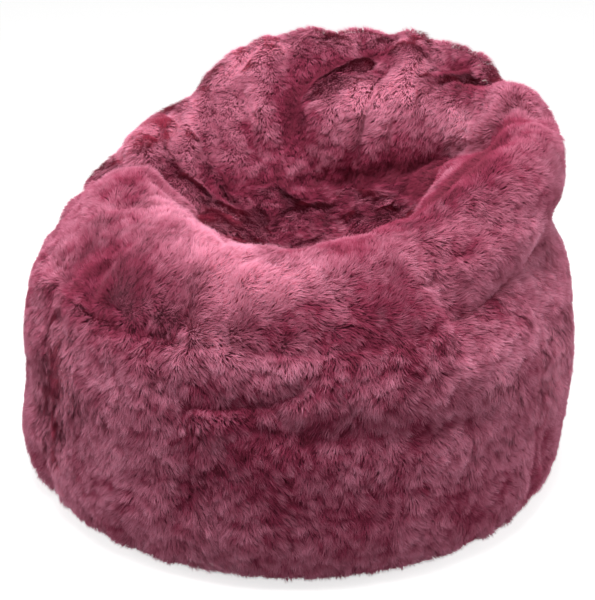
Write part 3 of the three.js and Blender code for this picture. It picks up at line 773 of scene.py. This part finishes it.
class Recipe(Nodes):
    """A Geometry Nodes tree. Its sizes are inputs, which each use of it may set."""

    def __init__(self, name, **inputs):
        super().__init__(bpy.data.node_groups.new(name, "GeometryNodeTree"))
        faces = self.tree.interface
        faces.new_socket("Geometry", in_out="OUTPUT", socket_type="NodeSocketGeometry")
        faces.new_socket("Geometry", in_out="INPUT", socket_type="NodeSocketGeometry")
        self.names = {}
        for label, value in inputs.items():
            kind = {float: "Float", int: "Int", str: value}[type(value)]
            socket = faces.new_socket(label, in_out="INPUT", socket_type="NodeSocket" + kind)
            if kind == "Float":
                socket.subtype = "NONE"
            if not isinstance(value, str):
                socket.default_value = value
            self.names[label] = socket.identifier
        self.entry = self.tree.nodes.new("NodeGroupInput")
        self.exit = self.tree.nodes.new("NodeGroupOutput")

    def read(self, label):
        return Wire(self, self.entry.outputs[label])

    def attribute(self, name, kind="FLOAT"):
        return self.add("GeometryNodeInputNamedAttribute", {"data_type": kind}, {"Name": name})

    def store(self, geometry, name, value, kind="FLOAT", domain="POINT"):
        return self.add("GeometryNodeStoreNamedAttribute", {"data_type": kind, "domain": domain},
                        {"Geometry": geometry, "Name": name, "Value": value})

    def random(self, low, high, seed):
        return self.add("FunctionNodeRandomValue", {"data_type": "FLOAT"},
                        {"Min": low, "Max": high, "Seed": seed})

    def combine(self, x, y, z=0.0):
        return self.add("ShaderNodeCombineXYZ", None, {"X": x, "Y": y, "Z": z})

    def finish(self, geometry):
        """Ends the tree in real geometry with its finish on it."""
        solid = self.add("GeometryNodeRealizeInstances", None, {"Geometry": geometry})
        done = self.add("GeometryNodeSetMaterial", None,
                        {"Geometry": solid, "Material": self.read("Finish")})
        self.tree.links.new(done.socket, self.exit.inputs[0])

    def make(self, name, base, **values):
        """Runs the tree on a piece, and returns what it makes as a plain mesh of its own."""
        modifier = base.modifiers.new(name, "NODES")
        modifier.node_group = self.tree
        for label, value in values.items():
            modifier[self.names[label]] = value
        mesh = applied(base)
        mesh.name = name
        for spare in [a.name for a in mesh.attributes if a.name in HELPERS]:
            mesh.attributes.remove(mesh.attributes[spare])
        return link(name, mesh)

# %% One blade: a kite of four points, told apart by how far across and along they are
BLADE = [(0, 0), (1, 0.45), (0, 1), (-1, 0.45)]
blade = meshed("fur_blade", [(across * 0.001, 0, along * 0.01) for across, along in BLADE],
               [(0, 3, 1), (1, 3, 2)])
for label, values in zip(("across", "along"), zip(*BLADE)):
    blade.data.attributes.new(label, "FLOAT", "POINT").data.foreach_set("value", values)
print("a blade has", len(BLADE), "points")

# %% The fur recipe
fur = Recipe("long_fur", Blade="Object", Density=200000.0, Length=0.021, Width=0.0011, Lift=0.66,
             Reach=0.62, Sway=1.0, Tone=0.5, Mottle=1.0, Seed=1, Finish="Material")
seed = fur.read("Seed")
roots = fur.add("GeometryNodeDistributePointsOnFaces", {"distribute_method": "RANDOM"},
                {"Mesh": fur.read("Geometry"), "Density": fur.read("Density"), "Seed": seed})
up = fur.vector("NORMALIZE", fur.attribute("stand", "FLOAT_VECTOR"))
root = fur.add("GeometryNodeInputPosition")
nap = fur.attribute("nap", "FLOAT_VECTOR")
sideways = fur.vector("CROSS_PRODUCT", up, nap)


def drift(scale, detail=1.0):
    """Smooth noise over the skin, from about -0.5 to 0.5."""
    return fur.add("ShaderNodeTexNoise", None, {"Vector": root, "Scale": scale, "Detail": detail}) - 0.5


# The nap swirls slowly over the hide, ruffles over a few centimetres, and differs a little each time
sway = (drift(5.0) * 5.0 + drift(26.0) * 5.0) * fur.read("Sway") + fur.random(-0.6, 0.6, seed + 1)
combed = fur.vector("LENGTH", nap, out="Value")
lean = fur.vector("NORMALIZE", nap + sideways * sway) * (0.6 + combed * 0.4)


def lock(size, salt):
    """From each root to the middle of its lock, along the skin, and a number that the lock shares."""
    cell = fur.add("ShaderNodeTexVoronoi", {"feature": "F1", "voronoi_dimensions": "3D"},
                   {"Vector": root + (salt, salt, salt), "Scale": 1 / size}, out="Position")
    way = cell - (salt, salt, salt) - root
    away = fur.vector("DOT_PRODUCT", way, up, out="Value")
    chance = fur.vector("DOT_PRODUCT", cell.other("Color"), (0.333, 0.333, 0.333), out="Value")
    return way - up * away, chance - 0.5


SMALL_LOCK, MIDDLE_LOCK, LARGE_LOCK = 0.008, 0.016, 0.034
small_way, small_chance = lock(SMALL_LOCK, 3.0)
middle_way, middle_chance = lock(MIDDLE_LOCK, 5.0)
large_way, large_chance = lock(LARGE_LOCK, 7.0)
gather = small_way * 0.14 + middle_way * 0.12 + large_way * 0.05
# A strand is shorter the nearer it stands to the edge of its lock, and painted darker there, as shade
# between locks
edge = (fur.vector("LENGTH", middle_way, out="Value") / MIDDLE_LOCK - 0.35) * 0.45
edge += (fur.vector("LENGTH", large_way, out="Value") / LARGE_LOCK - 0.35) * 0.4
ragged = small_chance * 0.3 + large_chance * 0.3 + fur.random(-0.08, 0.08, seed + 2)
length = fur.read("Length") * (1 - edge * 0.3 + ragged)
# Random tone, less the painted shade at the edges of locks
mottle = small_chance * 0.25 + middle_chance * 0.35 - edge + drift(70.0, 2.0)
mottle += fur.random(-0.12, 0.12, seed + 3)
tone = (fur.read("Tone") + fur.attribute("shade") + large_chance * 0.3 + drift(9.0, 4.0) * 1.2
        + mottle * fur.read("Mottle"))
# Tones below nought, mostly where the spots paint shade, fall below DEEP into the darkest strands
tone = fur.apply("MINIMUM", fur.apply("MAXIMUM", tone * 0.78 + 0.22, 0.02), 0.98)
roll = fur.random(-0.35, 0.35, seed + 4)
lift = fur.read("Lift") * fur.random(0.85, 1.15, seed + 5)

DIRECTIONS, AMOUNTS = ("root", "up", "lean", "gather"), ("long", "tone", "roll", "lift")
points = roots
for label, value in zip(DIRECTIONS, (root, up, lean, gather)):
    points = fur.store(points, label, value, "FLOAT_VECTOR")
for label, value in zip(AMOUNTS, (length, tone, roll, lift)):
    points = fur.store(points, label, value)
strand = fur.add("GeometryNodeObjectInfo", {"transform_space": "ORIGINAL"},
                 {"Object": fur.read("Blade")}, out="Geometry")
blades = fur.add("GeometryNodeInstanceOnPoints", None, {"Points": points, "Instance": strand})
blades = fur.add("GeometryNodeRealizeInstances", None, {"Geometry": blades})

# %% Where each point of a blade goes
OVER_FLOOR = 0.0008
across, along = fur.attribute("across"), fur.attribute("along")
root, up, lean, gather = (fur.attribute(label, "FLOAT_VECTOR") for label in DIRECTIONS)
length, tone, roll, lift = (fur.attribute(label) for label in AMOUNTS)

rise = length * lift * (along * 1.7 - along ** 2.0 * 0.7)
reach = length * fur.read("Reach") * along ** 1.6
side = fur.vector("NORMALIZE", fur.vector("CROSS_PRODUCT", up, lean))
face = side * fur.apply("COSINE", roll) + up * fur.apply("SINE", roll)
place = root + up * rise + lean * reach + gather * along ** 1.3 + face * (across * fur.read("Width") * 0.5)
height = fur.add("ShaderNodeSeparateXYZ", None, {0: place}, out="Z")
place = place + fur.combine(0.0, 0.0, fur.apply("MAXIMUM", OVER_FLOOR - height, 0.0))
blades = fur.add("GeometryNodeSetPosition", None, {"Geometry": blades, "Position": place})
blades = fur.store(blades, "OFBake", fur.combine(tone + across * 0.008, along * 0.96 + 0.02),
                   "FLOAT2", "CORNER")
fur.finish(blades)
print("fur recipe:", len(fur.tree.nodes), "nodes")

# %% [markdown]
# A blade's colour depends only on its tone, a number that its lock and patch of hide share, and on
# how far along the strand a point is: dark near the root and lighter at the tip, partly because the dye
# took less there and partly as painted shade deep in the pile and painted light at the tips. Both numbers
# are kept as the piece's UV map.

# %% Fur finish
pile = Finish("dyed_pile", Roughness=0.65, Specular_IOR_Level=0.2, Sheen_Weight=0.3, Sheen_Roughness=0.45,
              Sheen_Tint=(1.0, 0.45, 0.6, 1))
tone = pile.add("ShaderNodeSeparateXYZ", None, {0: pile.add("ShaderNodeUVMap", {"uv_map": "OFBake"})})
# The first ramp holds the darkest strands, mostly painted shadow; the others hold the deep and the pale
dark, deep, pale = (pile.ramp(tone.other("Y"), (0.0, 0.4, 1.0), colours) for colours in (
    [(104, 32, 52), (118, 34, 58), (146, 42, 70)],
    [(130, 54, 78), (146, 46, 78), (182, 62, 97)],
    [(214, 140, 164), (242, 132, 164), (255, 182, 209)],
))
DEEP = 0.22  # the tone at which the darkest strands end and the deep ones begin
paler = pile.mix((tone - DEEP) / (1 - DEEP), deep, pale)
pile.set(Base_Color=pile.mix(tone / DEEP, dark, paler))

# %% [markdown]
# The nap runs downhill on the walls and the backrest, and a little round the chair, since each hide
# was cut its own way. The lip and the left arm are brushed away from the viewer, which shows the
# strands' pale sides, and the seat towards the viewer, which shows their dark depths.

# %% The nap over the grid
FURS = {  # how it leans in x, y and z, its turn to the right, its length in mm, how pale, how mottled
    "front_wall": ((0, 0, -1), 0.15, 21, 0.42, 1.0),
    "right_wall": ((0, 0, -1), 0.35, 21, 0.44, 1.0),
    "left_wall": ((0, 0, -1), -0.2, 21, 0.44, 1.0),
    "front_lip": ((0.35, 0.85, -0.2), 0, 20, 0.42, 0.7),
    "right_arm": ((0, 0, -0.5), 0.8, 19, 0.36, 0.6),
    "left_arm": ((0.1, 0.8, -0.3), 0, 20, 0.44, 0.8),
    "crown": ((0, 0, -1), 0.1, 20, 0.42, 0.8),
    "backrest": ((0, -0.1, -1), 0.15, 17, 0.34, 0.7),
    "seat": ((0, -1, -0.2), 0.2, 18, 0.5, 1.0),
}
NAP_BLEND = 20  # rounds of averaging
FULL_NAP = 0.7  # a nap as long as this or longer gets the length 1
turning = np.stack([np.cos(angle), np.sin(angle), 0 * angle], axis=-1)

nap = np.zeros_like(skin)
for panel, (around, (first, last)) in PANELS.items():
    lean, turn = FURS[panel][:2]
    here = slice(first, last + 1), columns_between(*around) % COLUMNS
    nap[here] = (turning * turn + np.array(lean))[here]
nap = averaged(nap, NAP_BLEND)
nap = nap - skin_normal * (nap * skin_normal).sum(-1, keepdims=True)
nap /= np.maximum(np.linalg.norm(nap, axis=-1, keepdims=True), FULL_NAP)
print("nap: median length", round(float(np.median(np.linalg.norm(nap, axis=-1))), 2))

# %% [markdown]
# Hides differ in their dye, and a few soft spots of tone carry that from hide to hide. The same
# spots also paint light and shade into the pile: painted highlights on the lip's edge, on the left of
# the crown and on the pillow's crest, and painted shadow round the pillow, inside the right arm and
# in the seat's hollow.

# %% Dye and painted light: degrees round, station, radius in millimetres, and how much paler
DYE_AND_PAINTED_LIGHT = [
    # The lip and the arms: a painted highlight on the lip's edge, painted shadow inside the right arm
    (292, 7.6, 45, -0.25), (304, 7.9, 45, 0.1), (324, 8.0, 45, 0.3), (350, 7.7, 50, 0.2),
    (3, 7.3, 40, 0.35), (7, 6.9, 34, 1.3), (16, 6.95, 35, 0.75), (25, 7.1, 40, 0.6), (16, 7.7, 30, -0.4),
    (32, 7.5, 50, -0.6), (42, 7.2, 50, -0.4), (56, 8.0, 60, -0.45), (78, 7.4, 60, -0.25),
    (80, 8.5, 40, -1.8), (94, 8.2, 32, -1.3), (117, 8.0, 35, 0.4), (123, 8.6, 35, 0.3),
    (106, 7.6, 50, -0.2), (96, 7.7, 34, -0.5), (110, 7.9, 26, -0.6), (84, 7.6, 34, -0.4),
    (71, 7.2, 36, 0.3), (48, 6.7, 26, 0.3), (66, 7.45, 26, 0.3), (0, 8.1, 26, 0.45), (356, 7.4, 26, 0.2),
    (82, 6.5, 50, 0.6), (74, 6.9, 30, 0.2), (22, 6.8, 18, -0.45), (90, 8.1, 26, -0.4), (70, 7.6, 26, -0.3),
    (36, 6.5, 55, -0.55), (16, 6.3, 35, -0.35), (6, 6.2, 25, 0.2), (310, 6.6, 80, -0.25),
    (324, 6.7, 50, -0.3), (338, 6.4, 90, -0.4), (350, 6.3, 60, -0.15), (322, 5.9, 70, -0.2),
    # The crown and the backrest, with the pillow: painted highlights, and painted shadow under the pillow
    (256, 7.2, 45, 1.1), (249, 7.9, 55, 1.6), (234, 8.1, 35, 0.3), (220, 8.2, 35, 1.1), (207, 8.2, 30, 0.9),
    (224, 8.6, 35, 0.35), (217, 9.0, 30, 0.3), (195, 8.6, 45, -0.4), (184, 8.8, 35, -0.25),
    (175, 8.5, 14, -0.5), (182, 8.1, 30, 0.2), (166, 8.3, 25, 0.3), (158, 8.6, 22, 0.4),
    (162, 8.9, 25, 0.3), (170, 9.05, 30, 0.3), (153, 8.9, 30, 0.25), (148, 8.3, 30, -0.5),
    (138, 8.4, 38, -0.75), (134, 8.6, 16, -0.5), (127, 8.7, 24, 0.45), (126, 9.0, 24, 0.3),
    (143, 9.2, 40, -0.2), (152, 9.5, 30, -0.45), (141, 9.5, 30, -0.4), (129, 9.4, 35, -0.4),
    (170, 9.6, 35, -0.3), (207, 9.0, 35, -0.6), (201, 9.4, 45, -0.35), (190, 9.35, 40, -0.45),
    (213, 9.75, 40, -0.6), (256, 9.0, 30, -0.15), (190, 9.9, 35, -0.35), (240, 9.2, 30, -0.1),
    (210, 8.1, 28, 0.7), (222, 7.95, 28, 0.4), (230, 8.0, 24, 0.35), (165, 8.3, 18, 0.45),
    (182, 8.6, 16, 0.35), (169, 8.85, 18, -0.55), (167, 8.6, 16, -0.35), (150, 8.7, 18, -0.3),
    (131, 8.2, 18, -0.35), (131, 8.8, 20, 0.4), (213, 9.2, 20, -0.3), (236, 8.7, 22, -0.25),
    (195, 9.5, 20, 0.3), (234, 9.3, 20, 0.25), (230, 9.7, 20, -0.3), (156, 9.6, 20, -0.4),
    (144, 9.5, 22, -0.4), (134, 9.3, 22, -0.5), (125, 9.15, 24, -0.6), (162, 9.8, 28, -0.3),
    (140, 9.65, 28, -0.3), (122, 9.45, 24, -0.4), (249, 7.8, 22, 0.35), (194, 8.25, 22, 0.3),
    (190, 9.6, 20, 0.3), (224, 8.85, 24, 0.25), (176, 9.1, 24, 0.25),
    # The seat, mostly painted shade in its hollow
    (258, 9.9, 24, 0.3), (244, 10.1, 20, 0.3), (166, 10.0, 18, -0.3), (225, 10.2, 70, -0.45),
    (180, 10.4, 80, -0.5), (140, 10.0, 60, -0.4),
    # The walls, right round: painted light and shade on their folds, and a painted dark line in a crease
    (10, 3.9, 80, -0.25), (20, 3.0, 80, -0.35), (340, 3.1, 70, 0.2), (325, 2.6, 60, 0.3),
    (328, 4.0, 45, 0.65), (325, 4.8, 35, 0.5), (346, 4.4, 42, 0.55), (34, 3.8, 35, -0.3),
    (44, 3.7, 35, -0.3), (36, 2.6, 50, -0.25), (52, 3.1, 70, 0.1), (62, 2.6, 50, -0.15),
    (66, 5.7, 30, -0.4), (76, 3.5, 40, -0.2), (84, 3.4, 60, 0.4), (65, 4.4, 42, 0.5), (358, 5.0, 35, 0.15),
    (84, 5.5, 40, 0.2), (82, 4.3, 40, 0.2), (24, 3.83, 11, -0.5), (30, 3.8, 11, -0.5), (37, 3.78, 11, -0.5),
    (44, 3.66, 11, -0.5), (51, 3.65, 11, -0.4), (20, 4.7, 14, 0.3), (32, 4.4, 16, 0.35), (48, 4.4, 16, 0.3),
    (42, 4.6, 12, 0.2), (26, 3.5, 12, -0.35), (120, 3.5, 80, -0.2), (150, 4.5, 90, 0.15),
    (190, 3.0, 90, -0.2), (220, 4.6, 90, 0.15), (255, 3.2, 80, -0.15),
]
# Painted shade darkens the pile in each crease and a painted highlight lightens it on each crest, by how
# deep or high it is
CREASE_PAINTED_LIGHT = 0.03  # how much paler the pile is for each millimetre that a crest stands out
shade = np.zeros(stations.shape)
for around, station, radius, change in DYE_AND_PAINTED_LIGHT:
    spot = form_point(math.radians(around), station)
    shade += change * np.exp(-(np.linalg.norm(smooth - spot, axis=-1) / (radius * MM)) ** 2)
shade += press / MM * CREASE_PAINTED_LIGHT
print("tone spots from", round(float(shade.min()), 2), "to", round(float(shade.max()), 2))

# %% A bed for the fur
def fur_bed(name, around, rows):
    """A sheet of skin for fur to grow on, which carries the nap, the tone and which way is up."""
    part, whole = patch(skin, around, rows, room=0)
    bed = meshed(name, part.reshape(-1, 3), grid_faces(*part.shape[:2], whole))
    for label, kind, key, field in (
        ("nap", "FLOAT_VECTOR", "vector", nap),
        ("stand", "FLOAT_VECTOR", "vector", skin_normal),
        ("shade", "FLOAT", "value", shade),
    ):
        values = patch(field, around, rows, room=0)[0].ravel()
        bed.data.attributes.new(label, kind, "POINT").data.foreach_set(key, values)
    return bed

# %% Grow it
SPLITS = {"front_wall": 18, "right_wall": 139.5, "left_wall": 255}  # where a wall's fur is cut in two
STRAND_WIDTH = 0.0011
FULL_DENSITY, QUICK_DENSITY = 390000, 60000  # strands to a square metre
STRAND_LIMIT = 98000  # in one piece


def fur_pieces():
    """Each piece of fur: its panel, the end of its name, and its degrees round."""
    for panel, ((first, last), _) in PANELS.items():
        if panel in SPLITS:
            yield panel, "_fur_a", (first, SPLITS[panel])
            yield panel, "_fur_b", (SPLITS[panel], last)
        else:
            yield panel, "_fur", (first, last)


for number, (panel, ending, around) in enumerate(fur_pieces()):
    first, last = PANELS[panel][1]
    strand, pallor, mottle = FURS[panel][2:]
    bed = fur_bed(panel + "_bed", around, (max(first, HEM_ROW), last))
    area = sum(face.area for face in bed.data.polygons)
    density = min(FULL_DENSITY, STRAND_LIMIT / area)
    coat = fur.make(panel + ending, bed, Blade=blade, Density=density, Length=strand * MM, Tone=pallor,
                    Mottle=mottle, Width=STRAND_WIDTH * math.sqrt(FULL_DENSITY / density),
                    Seed=17 * number + 3, Finish=pile.material)
    bpy.data.objects.remove(bed)
    hand_over(coat, panel + "_panel")
bpy.data.objects.remove(blade)

# %% [markdown]
# ## The suede base
#
# A round of suede closes the cover below. It is cut in two along the zip, gathered a little where
# the hem seam takes it in, and topstitched beside the zip. The two halves start from the CAD panels,
# whose cut-out for the zip has to stay as it is, so planes cut them into small faces that can rise.

# %% Suede finish
suede = Finish("brushed_suede", Roughness=0.92, Specular_IOR_Level=0.2, Sheen_Weight=0.35,
               Sheen_Roughness=0.5, Sheen_Tint=(0.8, 0.45, 0.5, 1))
nap_grain = suede.noise(1400, detail=2)
brushed = suede.noise(45, detail=4)
worn = suede.noise(9, detail=2)
suede.set(Base_Color=suede.mix(brushed * 0.5 + worn * 0.35 + nap_grain * 0.15, (60, 28, 36), (126, 70, 80)))
suede.bump(nap_grain + brushed * 0.6, 0.0005)

# %% A copy of a CAD panel in small faces
def small_faced(name, node, size):
    """A closed copy of a CAD node, cut along x and y into faces no larger than size."""
    thing = link(name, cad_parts[node].data.copy())
    thing.data.materials.clear()
    shape = bmesh.new()
    shape.from_mesh(thing.data)
    bmesh.ops.remove_doubles(shape, verts=shape.verts, dist=1e-6)
    bmesh.ops.dissolve_limit(shape, angle_limit=0.01, verts=shape.verts, edges=shape.edges)
    for axis in (0, 1):
        low, high = (pick(v.co[axis] for v in shape.verts) for pick in (min, max))
        normal = Vector((1 - axis, axis, 0))
        for cut in range(math.ceil(low / size), math.ceil(high / size)):
            everything = shape.verts[:] + shape.edges[:] + shape.faces[:]
            bmesh.ops.bisect_plane(shape, geom=everything, plane_co=normal * (cut * size), plane_no=normal)
    bmesh.ops.triangulate(shape, faces=shape.faces)
    return thing, shape


def put_back(shape, thing, finish):
    """Ends the work on a piece's shape, and gives it its finish."""
    shape.to_mesh(thing.data)
    shape.free()
    thing.data.polygons.foreach_set("use_smooth", [False] * len(thing.data.polygons))
    thing.data.materials.append(finish.material)

# %% The two halves of the base
ZIP_Y, ZIP_HALF_ROOM = 0.120, 0.0176
STITCH_LINE = 0.004  # from the cut edge beside the zip
HEM_LINE = 0.388
PUCKERS, PUCKER_HEIGHT, PUCKER_START, PUCKER_FADE = 64, 0.0010, 0.32, 0.06
WANDER_HEIGHT = 0.0006
ZIP_GROOVE, HEM_GROOVE = (0.012, 0.0012), (0.010, 0.0010)  # width to each side, and depth
SUEDE_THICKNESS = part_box("base_front_panel")[1][2]


def groove(distance, width, depth):
    return depth * max(0.0, 1 - (distance / width) ** 2)


for half, side in (("base_front", -1), ("base_rear", 1)):
    piece, shape = small_faced(half + "_suede", half + "_panel", 0.010)
    for v in shape.verts:
        x, y, z = v.co
        if z > SUEDE_THICKNESS / 2:
            continue
        radius, turn = math.hypot(x, y), math.atan2(x, -y)
        gathered = max(0.0, min(1.0, (radius - PUCKER_START) / PUCKER_FADE))
        pucker = 0.5 + 0.5 * math.sin(turn * PUCKERS + 2.0 * math.sin(turn * 7))
        wander = max(0.0, 0.5 + noise.noise(Vector((x, y, 0)) * 14))
        line = abs(y - ZIP_Y - side * (ZIP_HALF_ROOM + STITCH_LINE))
        v.co.z = (z + PUCKER_HEIGHT * pucker * gathered + WANDER_HEIGHT * wander
                  + groove(line, *ZIP_GROOVE) + groove(radius - HEM_LINE, *HEM_GROOVE))
    put_back(shape, piece, suede)
    hand_over(piece, half + "_panel")

# %% [markdown]
# The topstitching is one short lens of thread, repeated. Geometry Nodes lay it along a line of
# points at an even pitch, and turn it to the line.

# %% Stitches along a line
thread = Finish("waxed_thread", Roughness=0.55, Specular_IOR_Level=0.4)
thread.set(Base_Color=thread.mix(thread.noise(700), (92, 34, 52), (140, 62, 84)))

SIDES = 6
RINGS = ((-0.36, 0.8), (0, 1.0), (0.36, 0.8))  # along the stitch, and how thick it is there
THICKEST = 0.16  # from the middle of the stitch to its side, as a share of its length
turns = [math.pi / 2 + i * 2 * math.pi / SIDES for i in range(SIDES)]
lens_points = [(-0.5, 0, 0)]
lens_points += [(x, THICKEST * w * math.cos(t), THICKEST * w * math.sin(t))
                for x, w in RINGS for t in turns]
lens_points.append((0.5, 0, 0))
pairs = [(i, (i + 1) % SIDES) for i in range(SIDES)]
first_ring, last_ring, tip = 1, 1 + (len(RINGS) - 1) * SIDES, 1 + len(RINGS) * SIDES
lens_faces = [(0, first_ring + j, first_ring + i) for i, j in pairs]
lens_faces += [(tip, last_ring + i, last_ring + j) for i, j in pairs]
lens_faces += [(start + i, start + j, start + SIDES + j, start + SIDES + i)
               for start in range(first_ring, last_ring, SIDES) for i, j in pairs]
stitch = meshed("stitch", lens_points, lens_faces)

sewing = Recipe("stitches", Stitch="Object", Pitch=0.005, Size=0.0036, Finish="Material")
line = sewing.add("GeometryNodeMeshToCurve", None, {"Mesh": sewing.read("Geometry")})
points = sewing.add("GeometryNodeCurveToPoints", {"mode": "LENGTH"},
                    {"Curve": line, "Length": sewing.read("Pitch")})
turn = sewing.add("FunctionNodeAlignRotationToVector", {"axis": "X"}, {"Vector": points.other("Tangent")})
lens = sewing.add("GeometryNodeObjectInfo", {"transform_space": "ORIGINAL"},
                  {"Object": sewing.read("Stitch")}, out="Geometry")
row = sewing.add("GeometryNodeInstanceOnPoints", None, {
    "Points": points, "Instance": lens, "Rotation": turn,
    "Scale": sewing.combine(1.0, 1.0, 0.7) * sewing.read("Size"),
})
sewing.finish(row)

# %% Sew both sides of the zip and the hem
STITCH_HEIGHT = 0.0006
ZIP_SEAM_END = 0.345
HEM_STEPS = 120


def sewn(name, places, closed=False):
    """A row of stitches through a few places."""
    edges = [(i, (i + 1) % len(places)) for i in range(len(places) if closed else len(places) - 1)]
    path = meshed(name + "_path", places, [], edges)
    seam = sewing.make(name, path, Stitch=stitch, Finish=thread.material)
    bpy.data.objects.remove(path)
    hand_over(seam)


for name, side in (("zip_topstitch_front", -1), ("zip_topstitch_rear", 1)):
    y = ZIP_Y + side * (ZIP_HALF_ROOM + STITCH_LINE)
    sewn(name, [(-ZIP_SEAM_END, y, STITCH_HEIGHT), (ZIP_SEAM_END, y, STITCH_HEIGHT)])
sewn("hem_topstitch", [(HEM_LINE * math.sin(t), -HEM_LINE * math.cos(t), STITCH_HEIGHT)
                       for t in np.linspace(0, 2 * math.pi, HEM_STEPS, endpoint=False)], closed=True)
bpy.data.objects.remove(stitch)

# %% [markdown]
# ## The zips
#
# The zips have to fit and slide, so their CAD solids stay as they are and only get better finishes:
# a woven tape with a twill across it, moulded teeth, and nickel-plated metal that has dulled.

# %% Tape, teeth and metal
tape = Finish("zip_twill", Roughness=0.85, Specular_IOR_Level=0.25, Sheen_Weight=0.2, Sheen_Roughness=0.5)
x, y = (tape.axis(letter) for letter in "XY")
ribs, threads = tape.waves((x + y) * 5200), tape.waves((x - y) * 9000)
tape.set(Base_Color=tape.mix(ribs * 0.4 + threads * 0.2 + tape.noise(60) * 0.4, (48, 20, 28), (98, 52, 62)))
tape.bump(ribs + threads * 0.5, 0.0002)

teeth = Finish("moulded_teeth", Specular_IOR_Level=0.5, Coat_Weight=0.25, Coat_Roughness=0.2)
mottle = teeth.noise(140)
teeth.set(Base_Color=teeth.mix(mottle, (84, 36, 48), (116, 60, 72)), Roughness=0.3 + mottle * 0.25)
teeth.bump(teeth.noise(900), 0.00008)

metal = Finish("dull_nickel", Metallic=1.0, Specular_IOR_Level=0.5)
rubbed = metal.noise(220)
drawn = metal.add("ShaderNodeMapping", None, {"Vector": metal.place(), "Scale": (1, 14, 14)})
scratches = metal.noise(500, at=drawn)
edge_wear = metal.add("ShaderNodeNewGeometry", out="Pointiness")
bright = metal.ramp(edge_wear, (0.48, 0.56), ((0, 0, 0), (255, 255, 255)))
metal.set(Base_Color=metal.mix(rubbed * 0.7 + bright * 0.3, (150, 146, 140), (206, 202, 196)),
          Roughness=0.22 + rubbed * 0.2 + scratches * 0.1)
metal.bump(scratches, 0.00005)

KINDS = {"tape": tape, "teeth": teeth, "stop": metal, "slider": metal, "pull": metal}
for node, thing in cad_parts.items():
    if "zip" in node:
        finish = next(f for word, f in KINDS.items() if word in node)
        for spot in thing.material_slots:
            spot.material = finish.material
        print(node, "is", finish.material.name)

# %% [markdown]
# ## The liner and the beads
#
# Under the hide lies a plain cotton bag, and in it the foam beads. Neither is seen while the cover is
# shut, but both are there when it is opened. They follow the same grid as the hide, one below the
# other with a little air between, so no crease cuts through them.

# %% Cotton and beads
cotton = Finish("plain_cotton", Roughness=0.9, Specular_IOR_Level=0.2,
                Sheen_Weight=0.2, Sheen_Roughness=0.5)
x, y, z = (cotton.axis(letter) for letter in "XYZ")
warp, weft = cotton.waves((x + y) * 3600), cotton.waves((z + (x - y) * 0.5) * 3600)
weave = warp * weft * 0.4 + cotton.noise(70) * 0.6
cotton.set(Base_Color=cotton.mix(weave, (206, 196, 178), (238, 231, 218)))
cotton.bump(warp + weft, 0.0002)

foam = Finish("foam_beads", Roughness=0.6, Specular_IOR_Level=0.4)
bead = foam.add("ShaderNodeTexVoronoi", {"feature": "F1"}, {"Vector": foam.place(), "Scale": 260.0},
                out="Distance")
dome = foam.apply("SQRT", foam.apply("MAXIMUM", 1.0 - bead * bead * 1.6, 0.0))
# The beads are painted paler at their middles and darker at their rims, as shade between them
foam.set(Base_Color=foam.mix(dome, (176, 176, 172), (248, 248, 244)))
foam.bump(dome, 0.0015)

# %% The bag and what fills it
AIR = 0.0003
CLOTH_THICKNESS = 0.002
KEPT_SHARE = 0.4  # of the faces, since the cover hides these pieces


def below(depth):
    """The skin's grid, moved inwards."""
    return skin - skin_normal * depth


def thinned(piece):
    """Drops the faces that a hidden piece can do without."""
    piece.modifiers.new("thin", "DECIMATE").ratio = KEPT_SHARE
    piece.data = applied(piece)


cloth_top = HIDE_THICKNESS + AIR
cloth_under = cloth_top + CLOTH_THICKNESS
for node, rows in (("liner_wall", (0, WALL_TOP_ROW)), ("liner_top", (WALL_TOP_ROW, MIDDLE_ROW))):
    cloth = thick_patch(node + "_cloth", below(cloth_top), below(cloth_under), (0, 360), rows)
    cloth.data.materials.append(cotton.material)
    thinned(cloth)
    hand_over(cloth, node)

piece, shape = small_faced("liner_base_cloth", "liner_base", 0.025)
put_back(shape, piece, cotton)
hand_over(piece, "liner_base")

fill = cover_mesh("bead_filling", below(cloth_under + AIR), smooth=True)
fill.data.materials.append(foam.material)
thinned(fill)
hand_over(fill, "bead_fill")
